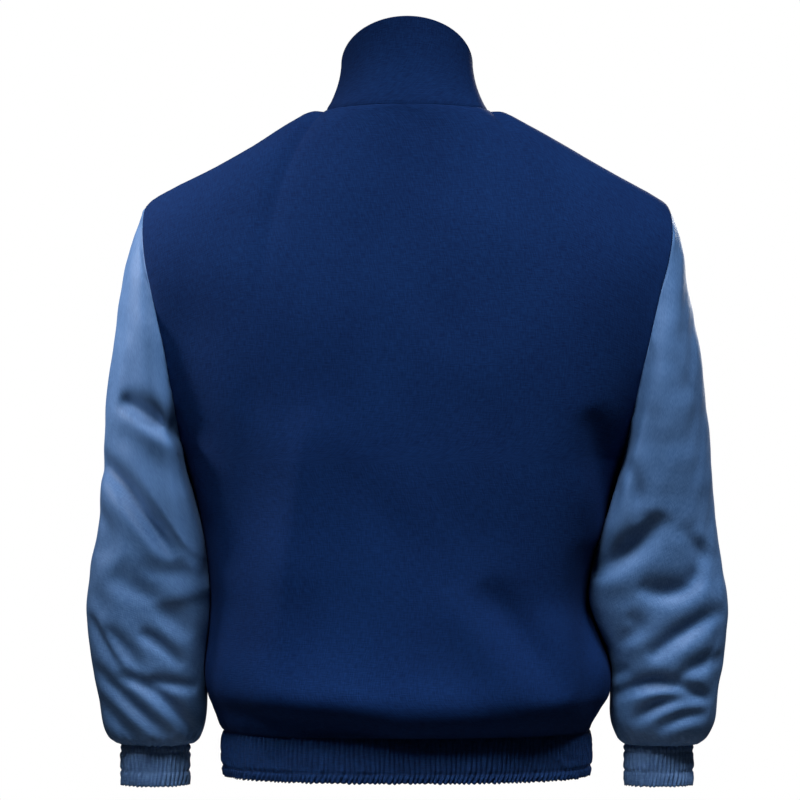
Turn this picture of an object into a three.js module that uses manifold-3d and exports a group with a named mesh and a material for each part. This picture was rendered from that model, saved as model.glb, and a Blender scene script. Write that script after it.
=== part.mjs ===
// Track jacket, zipped up and filled out as if worn, with nothing inside it.
// Millimetres, +Z up. The fronts face -Y, the back faces +Y, and the wearer's left is +X.
// The origin is the middle of the neck opening, level with the collar seam at the back.
//
// Every cloth piece is a thin wall built on a grid of points: rows run upwards, and columns
// run anticlockwise as seen from above. Neighbouring pieces share the points of their seam,
// so their walls are mitred there and then drawn apart by a hair.

import * as THREE from "three";
import { mergeVertices } from "three/addons/utils/BufferGeometryUtils.js";
import Module from "manifold-3d";

// ---------------------------------------------------------------- driving sizes

const WALL = 1.8; // cloth with its turnings
const SEAM_GAP = 0.3; // between two pieces at a seam
const DRAWN_APART = 0.55; // of that gap, how far each of the two edges is moved
const LONGEST_MITRE = 2.2; // a mitre at a sharp fold, in walls
const SAME_FACE = 0.85; // normals whose cosine is above this belong to one face
const MOSTLY_IN = 0.5; // a move along a seam's mitre needs this much of the way in

const LEFT = 1;
const RIGHT = -1;
const BACK = 1;
const FRONT = -1;

const COLUMNS = 10; // in half the back, and in each front
const NECK_COLUMNS = 5; // of those, the ones under the collar
const ARMHOLE_ROWS = 11; // from the armpit up to the shoulder point
const SLEEVE_ROWS = 17; // from the cuff up to the armhole
const COLLAR_ROWS = 5;
const CUFF_ROWS = 3;
const HEM_ROWS = 2;

const BODY_ROUNDNESS = 2.5; // 2 is an ellipse, more is squarer
const ZIP_EDGE = 5; // from the centre line to each front edge

const ARMPIT_Z = -350;
const SHOULDER_POINT = { x: 260, z: -96 };
const ARMHOLE_DEPTH = { back: 80, front: 72 };
const LIFT_START = 0.1; // where up the armhole the rows start to rise to the shoulder
const LIFT_POWER = 1.5;
const SHOULDER_SPACING = 1.4; // columns stand closer together towards the neck

const NECK = { x: 81, y: 75, backZ: 1, sideZ: -3, frontZ: -72, frontCurve: 1.4 };
const RIM = { x: 65, y: 60, backZ: 88.5, slope: 0.72, flare: 2.2 };

const HEM = { bottomZ: -662, swell: 1.5, tuck: 1.5 };
const CUFF = { x: 252.5, width: 33.5, depth: 29, y: -15, topZ: -635, bottomZ: -675, tuck: 1.5 };

// The body from the hem seam up to the armpit, a row for each height: half-widths on the
// wearer's left and right, and depths behind and in front of the side seams.
const TORSO = [
  { z: -619, left: 182, right: 181, back: 120, front: 119 },
  { z: -609, left: 187.5, right: 185.5, back: 130, front: 127 },
  { z: -598, left: 192.5, right: 192, back: 139, front: 134 },
  { z: -582, left: 198, right: 201, back: 143.5, front: 137 },
  { z: -556, left: 201, right: 203, back: 144, front: 138 },
  { z: -524, left: 198, right: 193, back: 141.5, front: 136 },
  { z: -490, left: 196, right: 181, back: 138.5, front: 134 },
  { z: -455, left: 198, right: 184, back: 136.5, front: 133 },
  { z: -420, left: 203, right: 194, back: 136, front: 134 },
  { z: -385, left: 211, right: 205, back: 137, front: 137 },
  { z: ARMPIT_Z, left: 221, right: 214, back: 138, front: 140 },
];

// The centre lines above the armpit.
const BACK_PROFILE = [
  { z: ARMPIT_Z, depth: 138 },
  { z: -290, depth: 138 },
  { z: -240, depth: 136 },
  { z: -190, depth: 131 },
  { z: -140, depth: 123 },
  { z: -90, depth: 109 },
  { z: -50, depth: 95.5 },
  { z: -20, depth: 83.5 },
  { z: NECK.backZ, depth: NECK.y },
];
const FRONT_PROFILE = [
  { z: ARMPIT_Z, depth: 140 },
  { z: -290, depth: 140 },
  { z: -240, depth: 135 },
  { z: -190, depth: 124 },
  { z: -140, depth: 104 },
  { z: -100, depth: 87 },
  { z: NECK.frontZ, depth: NECK.y },
];

// How far out the armhole seam lies at each height.
const ARMHOLE = [
  { z: ARMPIT_Z, left: 221, right: 214 },
  { z: -290, left: 230.5, right: 225 },
  { z: -240, left: 238.5, right: 236 },
  { z: -209, left: 245.5, right: 243 },
  { z: -182, left: 251.5, right: 249.5 },
  { z: -156, left: 257.5, right: 257 },
  { z: -129, left: 261, right: 262 },
  { z: -106, left: 261.5, right: 262 },
  { z: SHOULDER_POINT.z, left: SHOULDER_POINT.x, right: SHOULDER_POINT.x },
];

// The shoulder seam, outwards from the side of the neck.
const SHOULDER = [
  { x: NECK.x, z: NECK.sideZ },
  { x: 93, z: -2.5 },
  { x: 107, z: -8.5 },
  { x: 150, z: -34 },
  { x: 204, z: -64.5 },
  { x: 241, z: -84 },
  { x: SHOULDER_POINT.x, z: SHOULDER_POINT.z },
];

// The sleeve, a row for each section from the armhole down. A section is a ring through a
// point on the outer line and a point on the underarm line (L and R are the wearer's left and
// right), with a depth behind and in front. Its underarm side is as square as said.
const SLEEVE = [
  { outZ: -96, outL: 260, outR: 260, inZ: -350, inL: 221, inR: 214, back: 80, front: 72, y: 0, square: 2 },
  { outZ: -140, outL: 276, outR: 274, inZ: -366, inL: 217.5, inR: 211, back: 86, front: 78, y: -1, square: 2.3 },
  { outZ: -190, outL: 286.5, outR: 282, inZ: -386, inL: 211.5, inR: 205, back: 88, front: 82, y: -2, square: 2.8 },
  { outZ: -245, outL: 294.5, outR: 292.5, inZ: -410, inL: 205, inR: 197, back: 87, front: 83, y: -4, square: 3.2 },
  { outZ: -300, outL: 300, outR: 299, inZ: -436, inL: 200, inR: 189, back: 83, front: 80, y: -6, square: 3.4 },
  { outZ: -360, outL: 304.5, outR: 304.5, inZ: -462, inL: 197, inR: 182, back: 77, front: 76, y: -8, square: 3.4 },
  { outZ: -415, outL: 309, outR: 309, inZ: -487, inL: 195, inR: 179, back: 71, front: 71, y: -10, square: 3.4 },
  { outZ: -460, outL: 315.5, outR: 316, inZ: -512, inL: 195, inR: 185, back: 66, front: 67, y: -12, square: 3.4 },
  { outZ: -500, outL: 320.5, outR: 321, inZ: -537, inL: 199, inR: 198, back: 63, front: 64, y: -13, square: 3.2 },
  { outZ: -540, outL: 317, outR: 317, inZ: -562, inL: 201, inR: 204, back: 60, front: 61, y: -14, square: 2.8 },
  { outZ: -580, outL: 311, outR: 312, inZ: -588, inL: 201, inR: 204, back: 57, front: 58, y: -15, square: 2.4 },
  { outZ: -610, outL: 305.5, outR: 308, inZ: -611, inL: 203, inR: 205, back: 51, front: 51, y: -15, square: 2.2 },
  { outZ: -627, outL: 299, outR: 301, inZ: -628, inL: 208, inR: 211, back: 43, front: 43, y: -15, square: 2 },
  { outZ: -634, outL: 290.5, outR: 292, inZ: -634, inL: 214.5, inR: 217, back: 35, front: 35, y: -15, square: 2 },
];
const SLEEVE_END_SECTIONS = 3; // the last sections, one ring each, where the sleeve turns in
const SLEEVE_SETTLE = 4; // rings from the armhole over which a sleeve takes its own shape
const SLEEVE_CLEAR = 1.5; // between the sleeve and the body it lies against
const PRESS_START = 20; // that clearance opens over this height below the armpit

// The largest folds, as seen from behind (face BACK) or in front: a trough, or a ridge where
// the depth is negative, runs from one point to the other and fades over its width.
const SLEEVE_FOLDS = {
  [LEFT]: [
    { face: BACK, fromX: 301, fromZ: -349, toX: 235, toZ: -428, width: 24, depth: 7 },
    { face: BACK, fromX: 319, fromZ: -502, toX: 285, toZ: -558, width: 16, depth: 5 },
    { face: BACK, fromX: 310, fromZ: -567, toX: 237, toZ: -616, width: 15, depth: 5 },
    { face: FRONT, fromX: 296, fromZ: -372, toX: 240, toZ: -412, width: 24, depth: 7 },
    { face: FRONT, fromX: 312, fromZ: -520, toX: 240, toZ: -560, width: 18, depth: 5 },
  ],
  [RIGHT]: [
    { face: BACK, fromX: 200, fromZ: -423, toX: 257, toZ: -418, width: 22, depth: 7 },
    { face: BACK, fromX: 249, fromZ: -535, toX: 311, toZ: -504, width: 18, depth: 5 },
    { face: BACK, fromX: 212, fromZ: -596, toX: 298, toZ: -586, width: 15, depth: 5 },
    { face: FRONT, fromX: 300, fromZ: -355, toX: 232, toZ: -400, width: 24, depth: 7 },
    { face: FRONT, fromX: 310, fromZ: -500, toX: 246, toZ: -548, width: 18, depth: 5 },
  ],
};
const BODY_FOLDS = [
  { face: BACK, fromX: 107, fromZ: -390, toX: 168, toZ: -565, width: 38, depth: -5 },
  { face: BACK, fromX: -168, fromZ: -275, toX: -196, toZ: -400, width: 26, depth: 6 },
  { face: FRONT, fromX: -120, fromZ: -400, toX: -165, toZ: -560, width: 38, depth: -5 },
  { face: FRONT, fromX: 172, fromZ: -270, toX: 198, toZ: -395, width: 26, depth: 6 },
];

// The zip, sewn behind the front edges: a tape, and a row of teeth along its inner edge.
const ZIP = { tapeWidth: 15, tape: 1, tapeBend: 1.8, teethWidth: 2.6, teethProud: 1.3, halfGap: 0.2, clear: 0.5 };
const ZIP_TOP_DROP = 4; // the tapes end this far below the collar's rim
const SLIDER = { width: 8.5, height: 12, plate: 1.2, clear: 0.4, web: 2.4 };
const BRIDGE = { width: 2.2, bar: 1, reach: 2.6, opening: 2.8 };
const PULL = { width: 6.6, length: 24, thickness: 1.2, bar: 1.3, window: 3.7, windowWidth: 3.6 };

const COLOURS = {
  navy: { color: 0x17305f, roughness: 0.85, metalness: 0 },
  hem: { color: 0x14294f, roughness: 0.85, metalness: 0 },
  steelBlue: { color: 0x45689a, roughness: 0.8, metalness: 0 },
  cuff: { color: 0x3d5f90, roughness: 0.8, metalness: 0 },
  tape: { color: 0x101f40, roughness: 0.75, metalness: 0 },
  metal: { color: 0x9a9ca0, roughness: 0.35, metalness: 1 },
};

// ---------------------------------------------------------------- small helpers

const lerp = THREE.MathUtils.lerp;

function slopeAt(table, key, column, i) {
  const a = table[Math.max(i - 1, 0)];
  const b = table[Math.min(i + 1, table.length - 1)];
  return (b[column] - a[column]) / (b[key] - a[key]);
}

// A smooth curve through one column of a table, read at a value of its key column.
function sample(table, key, value, column) {
  const rising = table[1][key] > table[0][key];
  let i = table.findIndex((row) => (rising ? row[key] > value : row[key] < value));
  i = i < 0 ? table.length - 2 : Math.max(i - 1, 0);
  const a = table[i];
  const b = table[i + 1];
  const span = b[key] - a[key];
  const t = THREE.MathUtils.clamp((value - a[key]) / span, 0, 1);
  const leave = slopeAt(table, key, column, i) * span;
  const arrive = slopeAt(table, key, column, i + 1) * span;
  const t2 = t * t;
  const t3 = t2 * t;
  return (
    (2 * t3 - 3 * t2 + 1) * a[column] +
    (t3 - 2 * t2 + t) * leave +
    (3 * t2 - 2 * t3) * b[column] +
    (t3 - t2) * arrive
  );
}

function superellipse(fraction, roundness) {
  return Math.pow(Math.max(1 - Math.pow(fraction, roundness), 0), 1 / roundness);
}

function named(side, left, right) {
  return side === LEFT ? left : right;
}

function range(count) {
  return Array.from({ length: count + 1 }, (_, i) => i);
}

// ---------------------------------------------------------------- body

const BODY_ROWS = TORSO.length - 1;
const ROWS = BODY_ROWS + ARMHOLE_ROWS;

// A point of the neck seam, a quarter turn at a time: turn 0 is the centre, 1 the side.
function neckPoint(side, face, turn) {
  const angle = (turn * Math.PI) / 2;
  const edge = face === FRONT ? ZIP_EDGE : 0;
  const x = edge + (NECK.x - edge) * Math.sin(angle);
  const centreZ = face === BACK ? NECK.backZ : NECK.frontZ;
  const power = face === BACK ? 1 : NECK.frontCurve;
  const z = lerp(NECK.sideZ, centreZ, Math.pow(Math.max(Math.cos(angle), 0), power));
  return new THREE.Vector3(side * x, face * NECK.y * Math.cos(angle), z);
}

// The top edge of a panel: the neck seam, then the shoulder seam out to the shoulder point.
function topPoint(side, face, column) {
  if (column <= NECK_COLUMNS) {
    return neckPoint(side, face, column / NECK_COLUMNS);
  }
  const along = (column - NECK_COLUMNS) / (COLUMNS - NECK_COLUMNS);
  const x = lerp(NECK.x, SHOULDER_POINT.x, Math.pow(along, SHOULDER_SPACING));
  return new THREE.Vector3(side * x, 0, sample(SHOULDER, "x", x, "z"));
}

// A point below the armpit, on a flattened oval.
function lowerPoint(side, face, column, row) {
  const section = TORSO[row];
  const halfWidth = section[named(side, "left", "right")];
  const depth = section[face === BACK ? "back" : "front"];
  const edge = face === FRONT ? ZIP_EDGE : 0;
  const x = edge + (halfWidth - edge) * Math.sin((column / COLUMNS) * (Math.PI / 2));
  const y = column === COLUMNS ? 0 : face * depth * superellipse(x / halfWidth, BODY_ROUNDNESS);
  return new THREE.Vector3(side * x, y, section.z);
}

// A point above the armpit. The row starts on the armhole seam and rises towards the
// shoulder seam, and the depth rounds off over the shoulder as the row reaches it.
function upperPoint(side, face, column, row) {
  const q = (row - BODY_ROWS) / ARMHOLE_ROWS;
  const top = topPoint(side, face, column);
  if (q === 1) {
    return top;
  }
  const climb = (1 - Math.cos(Math.PI * q)) / 2;
  const edgeZ = lerp(ARMPIT_Z, SHOULDER_POINT.z, climb);
  const edgeX = sample(ARMHOLE, "z", edgeZ, named(side, "left", "right"));
  const lift = Math.pow(Math.max(q - LIFT_START, 0) / (1 - LIFT_START), LIFT_POWER);
  const round = Math.sqrt(1 - lift * lift);
  const centreZ = edgeZ + (topPoint(side, face, 0).z - SHOULDER_POINT.z) * lift;
  const depth = sample(face === BACK ? BACK_PROFILE : FRONT_PROFILE, "z", centreZ, "depth");
  const armholeDepth = face === BACK ? ARMHOLE_DEPTH.back : ARMHOLE_DEPTH.front;
  const edgeY = (armholeDepth * Math.sin(Math.PI * q)) / round;
  const fullWidth = edgeX / superellipse(edgeY / depth, BODY_ROUNDNESS);
  const inner = face === FRONT ? ZIP_EDGE : 0;
  const evenly = Math.sin((column / COLUMNS) * (Math.PI / 2));
  const asTop = (Math.abs(top.x) - inner) / (SHOULDER_POINT.x - inner);
  const x = inner + (edgeX - inner) * lerp(evenly, asTop, lift);
  const y = face * depth * superellipse(x / fullWidth, BODY_ROUNDNESS) * round + top.y * (1 - round);
  return new THREE.Vector3(side * x, y, edgeZ + (top.z - SHOULDER_POINT.z) * lift);
}

function bodyPoint(side, face, column, row) {
  return row <= BODY_ROWS ? lowerPoint(side, face, column, row) : upperPoint(side, face, column, row);
}

function backGrid() {
  return range(ROWS).map((row) => [
    ...range(COLUMNS).map((i) => bodyPoint(LEFT, BACK, COLUMNS - i, row)),
    ...range(COLUMNS).slice(1).map((i) => bodyPoint(RIGHT, BACK, i, row)),
  ]);
}

function frontGrid(side) {
  return range(ROWS).map((row) =>
    range(COLUMNS).map((i) => bodyPoint(side, FRONT, side === LEFT ? i : COLUMNS - i, row)),
  );
}

// ---------------------------------------------------------------- collar and hem band

// The rim lies on a plane that slopes down to the front.
function rimPoint(side, face, turn) {
  const angle = (turn * Math.PI) / 2;
  const edge = face === FRONT ? ZIP_EDGE : 0;
  const y = face * RIM.y * Math.cos(angle);
  const z = RIM.backZ - RIM.slope * (RIM.y - y);
  return new THREE.Vector3(side * (edge + (RIM.x - edge) * Math.sin(angle)), y, z);
}

function collarPoint(side, face, turn, up) {
  const neck = neckPoint(side, face, turn);
  const rim = rimPoint(side, face, turn);
  const flare = Math.pow(1 - up, RIM.flare);
  return new THREE.Vector3(
    lerp(rim.x, neck.x, flare),
    lerp(rim.y, neck.y, flare),
    lerp(neck.z, rim.z, up),
  );
}

function collarGrid() {
  const turns = range(NECK_COLUMNS).map((i) => i / NECK_COLUMNS);
  const down = [...turns].reverse();
  return range(COLLAR_ROWS).map((row) => {
    const up = row / COLLAR_ROWS;
    return [
      ...turns.map((turn) => collarPoint(LEFT, FRONT, turn, up)),
      ...down.slice(1).map((turn) => collarPoint(LEFT, BACK, turn, up)),
      ...turns.slice(1).map((turn) => collarPoint(RIGHT, BACK, turn, up)),
      ...down.slice(1).map((turn) => collarPoint(RIGHT, FRONT, turn, up)),
    ];
  });
}

// The band hangs from the hem seam, swells a little and tucks in at its lower edge.
function hemGrid(panels) {
  const seam = [
    ...panels.frontLeft[0],
    ...panels.back[0].slice(1),
    ...panels.frontRight[0].slice(1),
  ];
  return range(HEM_ROWS).map((row) => {
    const up = row / HEM_ROWS;
    const out = row === 0 ? -HEM.tuck : HEM.swell * Math.sin(Math.PI * up);
    return seam.map((point) => {
      const scale = 1 + out / TORSO[0].left;
      const z = lerp(HEM.bottomZ, point.z, up);
      const onZip = Math.abs(point.x) <= ZIP_EDGE;
      return new THREE.Vector3(onZip ? point.x : point.x * scale, point.y * scale, z);
    });
  });
}

// ---------------------------------------------------------------- sleeves and cuffs

const RING = 2 * ARMHOLE_ROWS; // points round a sleeve

// A point on the ring of a section, from the underarm round and back to it.
function sleevePoint(side, section, k) {
  const angle = (2 * Math.PI * k) / RING;
  const face = (k <= ARMHOLE_ROWS) === (side === LEFT) ? FRONT : BACK;
  const power = 2 / (Math.cos(angle) > 0 ? section.square : 2);
  const inwards = Math.sign(Math.cos(angle)) * Math.pow(Math.abs(Math.cos(angle)), power);
  const depth = face === BACK ? section.back : section.front;
  return new THREE.Vector3(
    side * lerp(section.outX, section.inX, (1 + inwards) / 2),
    section.y + face * depth * Math.pow(Math.abs(Math.sin(angle)), power),
    lerp(section.outZ, section.inZ, (1 + inwards) / 2),
  );
}

// How far out the side of the body lies at a depth and a height below the armpit.
function bodySide(side, y, z) {
  const above = Math.max(TORSO.findIndex((row) => row.z > z), 1);
  const low = TORSO[above - 1];
  const high = TORSO[above];
  const t = THREE.MathUtils.clamp((z - low.z) / (high.z - low.z), 0, 1);
  const read = (column) => lerp(low[column], high[column], t);
  const depth = read(y > 0 ? "back" : "front");
  return read(named(side, "left", "right")) * superellipse(Math.min(Math.abs(y) / depth, 1), BODY_ROUNDNESS);
}

// The arm lies against the body, which presses the sleeve's inner side in.
function pressed(side, point) {
  if (point.z > ARMPIT_Z || point.z < TORSO[0].z) {
    return point;
  }
  const settle = THREE.MathUtils.clamp((ARMPIT_Z - point.z) / PRESS_START, 0, 1);
  const least = bodySide(side, point.y, point.z) + SLEEVE_CLEAR * settle;
  point.x = side * Math.max(side * point.x, least);
  return point;
}

function sleeveSection(side, outZ) {
  const read = (column) => sample(SLEEVE, "outZ", outZ, column);
  return {
    outX: read(named(side, "outL", "outR")),
    outZ,
    inX: read(named(side, "inL", "inR")),
    inZ: read("inZ"),
    back: read("back"),
    front: read("front"),
    y: read("y"),
    square: read("square"),
  };
}

function cuffSection(z, width, depth) {
  const inX = CUFF.x - width;
  return { outX: CUFF.x + width, outZ: z, inX, inZ: z, back: depth, front: depth, y: CUFF.y, square: 2 };
}

// The armhole seam, in the order of a sleeve's ring.
function armholeRing(side) {
  const first = side === LEFT ? FRONT : BACK;
  return range(RING - 1).map((k) => {
    const face = k <= ARMHOLE_ROWS ? first : -first;
    const step = k <= ARMHOLE_ROWS ? k : RING - k;
    return bodyPoint(side, face, COLUMNS, BODY_ROWS + step);
  });
}

function sleeveGrid(side) {
  const evenRings = SLEEVE_ROWS - SLEEVE_END_SECTIONS - 1;
  const lastEven = SLEEVE[SLEEVE.length - 1 - SLEEVE_END_SECTIONS].outZ;
  const heights = range(evenRings).map((i) => lerp(SLEEVE[0].outZ, lastEven, i / evenRings));
  SLEEVE.slice(-SLEEVE_END_SECTIONS).forEach((section) => heights.push(section.outZ));
  const sections = heights.map((z) => sleeveSection(side, z));
  sections.push(cuffSection(CUFF.topZ, CUFF.width, CUFF.depth));
  const armhole = armholeRing(side);
  const rings = sections.map((section, row) => {
    const settle = Math.pow(Math.max(1 - row / SLEEVE_SETTLE, 0), 2);
    return range(RING - 1).map((k) => {
      const start = sleevePoint(side, sections[0], k);
      const shift = armhole[k].clone().sub(start).multiplyScalar(settle);
      const point = sleevePoint(side, section, k).add(shift);
      return row === 0 ? point : pressed(side, point);
    });
  });
  return rings.reverse();
}

function cuffGrid(side) {
  return range(CUFF_ROWS).map((row) => {
    const up = row / CUFF_ROWS;
    const tuck = row === 0 ? CUFF.tuck : 0;
    const section = cuffSection(lerp(CUFF.bottomZ, CUFF.topZ, up), CUFF.width - tuck, CUFF.depth - tuck);
    return range(RING - 1).map((k) => sleevePoint(side, section, k));
  });
}

// ---------------------------------------------------------------- walls

function gridNormal(rows, closed, r, c) {
  const count = rows[0].length;
  const wrap = (i) => (closed ? (i + count) % count : THREE.MathUtils.clamp(i, 0, count - 1));
  const along = rows[r][wrap(c + 1)].clone().sub(rows[r][wrap(c - 1)]);
  const above = rows[Math.min(r + 1, rows.length - 1)][c];
  const below = rows[Math.max(r - 1, 0)][c];
  return along.cross(above.clone().sub(below)).normalize();
}

function onEdge(rows, closed, r, c) {
  const sides = !closed && (c === 0 || c === rows[0].length - 1);
  return r === 0 || r === rows.length - 1 || sides;
}

// Presses the folds into a grid, all but its edges, which stay on their seams.
function foldGrid(rows, closed, side, folds) {
  return rows.map((points, r) =>
    points.map((point, c) => {
      if (onEdge(rows, closed, r, c)) {
        return point;
      }
      const normal = gridNormal(rows, closed, r, c);
      const place = new THREE.Vector2(side * point.x, point.z);
      let depth = 0;
      for (const fold of folds) {
        const from = new THREE.Vector2(fold.fromX, fold.fromZ);
        const line = new THREE.Vector2(fold.toX, fold.toZ).sub(from);
        const t = THREE.MathUtils.clamp(place.clone().sub(from).dot(line) / line.lengthSq(), 0, 1);
        const distance = from.addScaledVector(line, t).distanceTo(place) / fold.width;
        const facing = THREE.MathUtils.smoothstep(fold.face * normal.y, 0, 0.5);
        depth += fold.depth * Math.exp(-distance * distance) * facing;
      }
      return point.clone().addScaledVector(normal, -depth);
    }),
  );
}

function keyOf(point) {
  return point.toArray().map((value) => Math.round(value * 100)).join();
}

// All the outward normals that meet at each seam point, near-alike ones counted once.
function seamNormals(panels) {
  const meetings = new Map();
  for (const { rows, closed } of panels) {
    rows.forEach((points, r) =>
      points.forEach((point, c) => {
        if (!onEdge(rows, closed, r, c)) {
          return;
        }
        const normal = gridNormal(rows, closed, r, c);
        const met = meetings.get(keyOf(point)) ?? [];
        const alike = met.find((other) => other.clone().normalize().dot(normal) > SAME_FACE);
        if (alike) {
          alike.add(normal);
        } else {
          met.push(normal);
        }
        meetings.set(keyOf(point), met);
      }),
    );
  }
  return meetings;
}

// The inner grid: each point moved in by the wall, along the mitre where pieces meet.
function innerGrid({ rows, closed }, meetings) {
  return rows.map((points, r) =>
    points.map((point, c) => {
      if (!onEdge(rows, closed, r, c)) {
        return point.clone().addScaledVector(gridNormal(rows, closed, r, c), -WALL);
      }
      const normals = meetings.get(keyOf(point)).map((normal) => normal.clone().normalize());
      const mitre = normals.reduce((sum, normal) => sum.add(normal), new THREE.Vector3()).normalize();
      const least = Math.min(...normals.map((normal) => normal.dot(mitre)));
      const length = WALL / Math.max(least, 1 / LONGEST_MITRE);
      return point.clone().addScaledVector(mitre, -length);
    }),
  );
}

// The move that draws an edge point away from its seam, square to the mitred face there.
function edgeMoves(outer, inner, closed, r, c) {
  const lastRow = outer.length - 1;
  const lastColumn = outer[0].length - 1;
  const middle = (i, j) => outer[i][j].clone().add(inner[i][j]).multiplyScalar(0.5);
  const through = inner[r][c].clone().sub(outer[r][c]);
  const count = lastColumn + 1;
  const wrap = (j) => (closed ? (j + count) % count : THREE.MathUtils.clamp(j, 0, lastColumn));
  const moves = [];
  const addMove = (tangent, inward) => {
    const move = tangent.cross(through).normalize();
    moves.push(move.dot(inward) < 0 ? move.negate() : move);
    const away = inward.clone().normalize();
    if (Math.abs(move.dot(away)) < MOSTLY_IN) {
      moves.push(away.addScaledVector(move, -move.dot(away)).normalize());
    }
  };
  if (r === 0 || r === lastRow) {
    const tangent = outer[r][wrap(c + 1)].clone().sub(outer[r][wrap(c - 1)]);
    addMove(tangent, middle(r === 0 ? 1 : lastRow - 1, c).sub(middle(r, c)));
  }
  if (!closed && (c === 0 || c === lastColumn)) {
    const tangent = outer[Math.min(r + 1, lastRow)][c].clone().sub(outer[Math.max(r - 1, 0)][c]);
    addMove(tangent, middle(r, c === 0 ? 1 : lastColumn - 1).sub(middle(r, c)));
  }
  return moves;
}

function openSeams(outer, inner, closed) {
  const opened = { outer: [], inner: [] };
  outer.forEach((points, r) => {
    opened.outer.push([]);
    opened.inner.push([]);
    points.forEach((_, c) => {
      const moves = edgeMoves(outer, inner, closed, r, c);
      const sum = moves.reduce((total, move) => total.add(move), new THREE.Vector3());
      const share = moves.length === 2 ? 1 + Math.max(sum.lengthSq() / 2 - 1, -0.5) : 1;
      sum.multiplyScalar((DRAWN_APART * SEAM_GAP) / share);
      opened.outer[r].push(outer[r][c].clone().add(sum));
      opened.inner[r].push(inner[r][c].clone().add(sum));
    });
  });
  return opened;
}

// A closed solid from an outer and an inner grid.
function wallGeometry(outer, inner, closed) {
  const rowCount = outer.length;
  const columnCount = outer[0].length;
  const spans = closed ? columnCount : columnCount - 1;
  const positions = [...outer.flat(), ...inner.flat()].flatMap((point) => point.toArray());
  const indices = [];
  const out = (r, c) => r * columnCount + (c % columnCount);
  const into = (r, c) => rowCount * columnCount + out(r, c);
  const quad = (a, b, c, d) => indices.push(a, b, c, a, c, d);
  for (let r = 0; r < rowCount - 1; r += 1) {
    for (let c = 0; c < spans; c += 1) {
      quad(out(r, c), out(r, c + 1), out(r + 1, c + 1), out(r + 1, c));
      quad(into(r, c), into(r + 1, c), into(r + 1, c + 1), into(r, c + 1));
    }
  }
  const top = rowCount - 1;
  for (let c = 0; c < spans; c += 1) {
    quad(out(0, c), into(0, c), into(0, c + 1), out(0, c + 1));
    quad(out(top, c), out(top, c + 1), into(top, c + 1), into(top, c));
  }
  if (!closed) {
    const last = columnCount - 1;
    for (let r = 0; r < top; r += 1) {
      quad(out(r, 0), out(r + 1, 0), into(r + 1, 0), into(r, 0));
      quad(out(r, last), into(r, last), into(r + 1, last), out(r + 1, last));
    }
  }
  const geometry = new THREE.BufferGeometry();
  geometry.setAttribute("position", new THREE.Float32BufferAttribute(positions, 3));
  geometry.setIndex(indices);
  geometry.computeVertexNormals();
  return geometry;
}

// ---------------------------------------------------------------- zip

// The centre line of the fronts' outside, from the hem's lower edge to near the rim.
function zipLine(hemRows, frontRows, collarRows) {
  const points = [
    ...hemRows.map((row) => row[0]),
    ...frontRows.slice(1).map((row) => row[0]),
    ...collarRows.slice(1).map((row) => row[0]),
  ];
  const line = points.map((point) => new THREE.Vector2(point.y, point.z));
  const rim = line[line.length - 1];
  const below = line[line.length - 2];
  const drop = ZIP_TOP_DROP / rim.distanceTo(below);
  rim.lerp(below.clone(), drop);
  return line;
}

function squareTo(from, to) {
  const along = to.clone().sub(from).normalize();
  return new THREE.Vector2(-along.y, along.x);
}

// The way out from a point of the line, lengthened at its bends as a mitre is.
function outwards(line, i) {
  const below = squareTo(line[Math.max(i - 1, 0)], line[Math.max(i, 1)]);
  const last = line.length - 1;
  const above = squareTo(line[Math.min(i, last - 1)], line[Math.min(i + 1, last)]);
  return below.clone().add(above).divideScalar(1 + below.dot(above));
}

// One half of the zip: its section, across and outwards, carried up the line.
function zipGeometry(side, line) {
  const face = -(WALL + ZIP.clear);
  const section = [
    new THREE.Vector2(ZIP.halfGap, face + ZIP.teethProud),
    new THREE.Vector2(ZIP.halfGap, face - ZIP.tape),
    new THREE.Vector2(ZIP_EDGE, face - ZIP.tape),
    new THREE.Vector2(ZIP.tapeWidth, face - ZIP.tapeBend - ZIP.tape),
    new THREE.Vector2(ZIP.tapeWidth, face - ZIP.tapeBend),
    new THREE.Vector2(ZIP_EDGE, face),
    new THREE.Vector2(ZIP.teethWidth, face),
    new THREE.Vector2(ZIP.teethWidth, face + ZIP.teethProud),
  ];
  const count = section.length;
  const positions = line.flatMap((point, i) => {
    const normal = outwards(line, i);
    return section.flatMap((corner) => {
      const place = point.clone().addScaledVector(normal, corner.y);
      return [side * corner.x, place.x, place.y];
    });
  });
  const indices = [];
  for (let i = 0; i < line.length - 1; i += 1) {
    for (let j = 0; j < count; j += 1) {
      const next = (j + 1) % count;
      const a = i * count + j;
      const b = i * count + next;
      indices.push(a, b, b + count, a, b + count, a + count);
    }
  }
  const end = (line.length - 1) * count;
  for (const [a, b, c] of THREE.ShapeUtils.triangulateShape(section, [])) {
    indices.push(a, c, b, end + a, end + b, end + c);
  }
  if (side === LEFT) {
    indices.reverse();
  }
  const geometry = new THREE.BufferGeometry();
  geometry.setAttribute("position", new THREE.Float32BufferAttribute(positions, 3));
  geometry.setIndex(indices);
  geometry.computeVertexNormals();
  return geometry;
}

const wasm = await Module();
wasm.setup();

function toSolid(geometry) {
  const bare = geometry.clone();
  bare.deleteAttribute("normal");
  bare.deleteAttribute("uv");
  const merged = mergeVertices(bare, 1e-4);
  return new wasm.Manifold(
    new wasm.Mesh({
      numProp: 3,
      vertProperties: merged.attributes.position.array,
      triVerts: new Uint32Array(merged.index.array),
    }),
  );
}

function fromSolid(solid) {
  const mesh = solid.getMesh();
  const geometry = new THREE.BufferGeometry();
  geometry.setAttribute("position", new THREE.BufferAttribute(mesh.vertProperties, 3));
  geometry.setIndex(new THREE.BufferAttribute(mesh.triVerts, 1));
  geometry.computeVertexNormals();
  return geometry;
}

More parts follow.
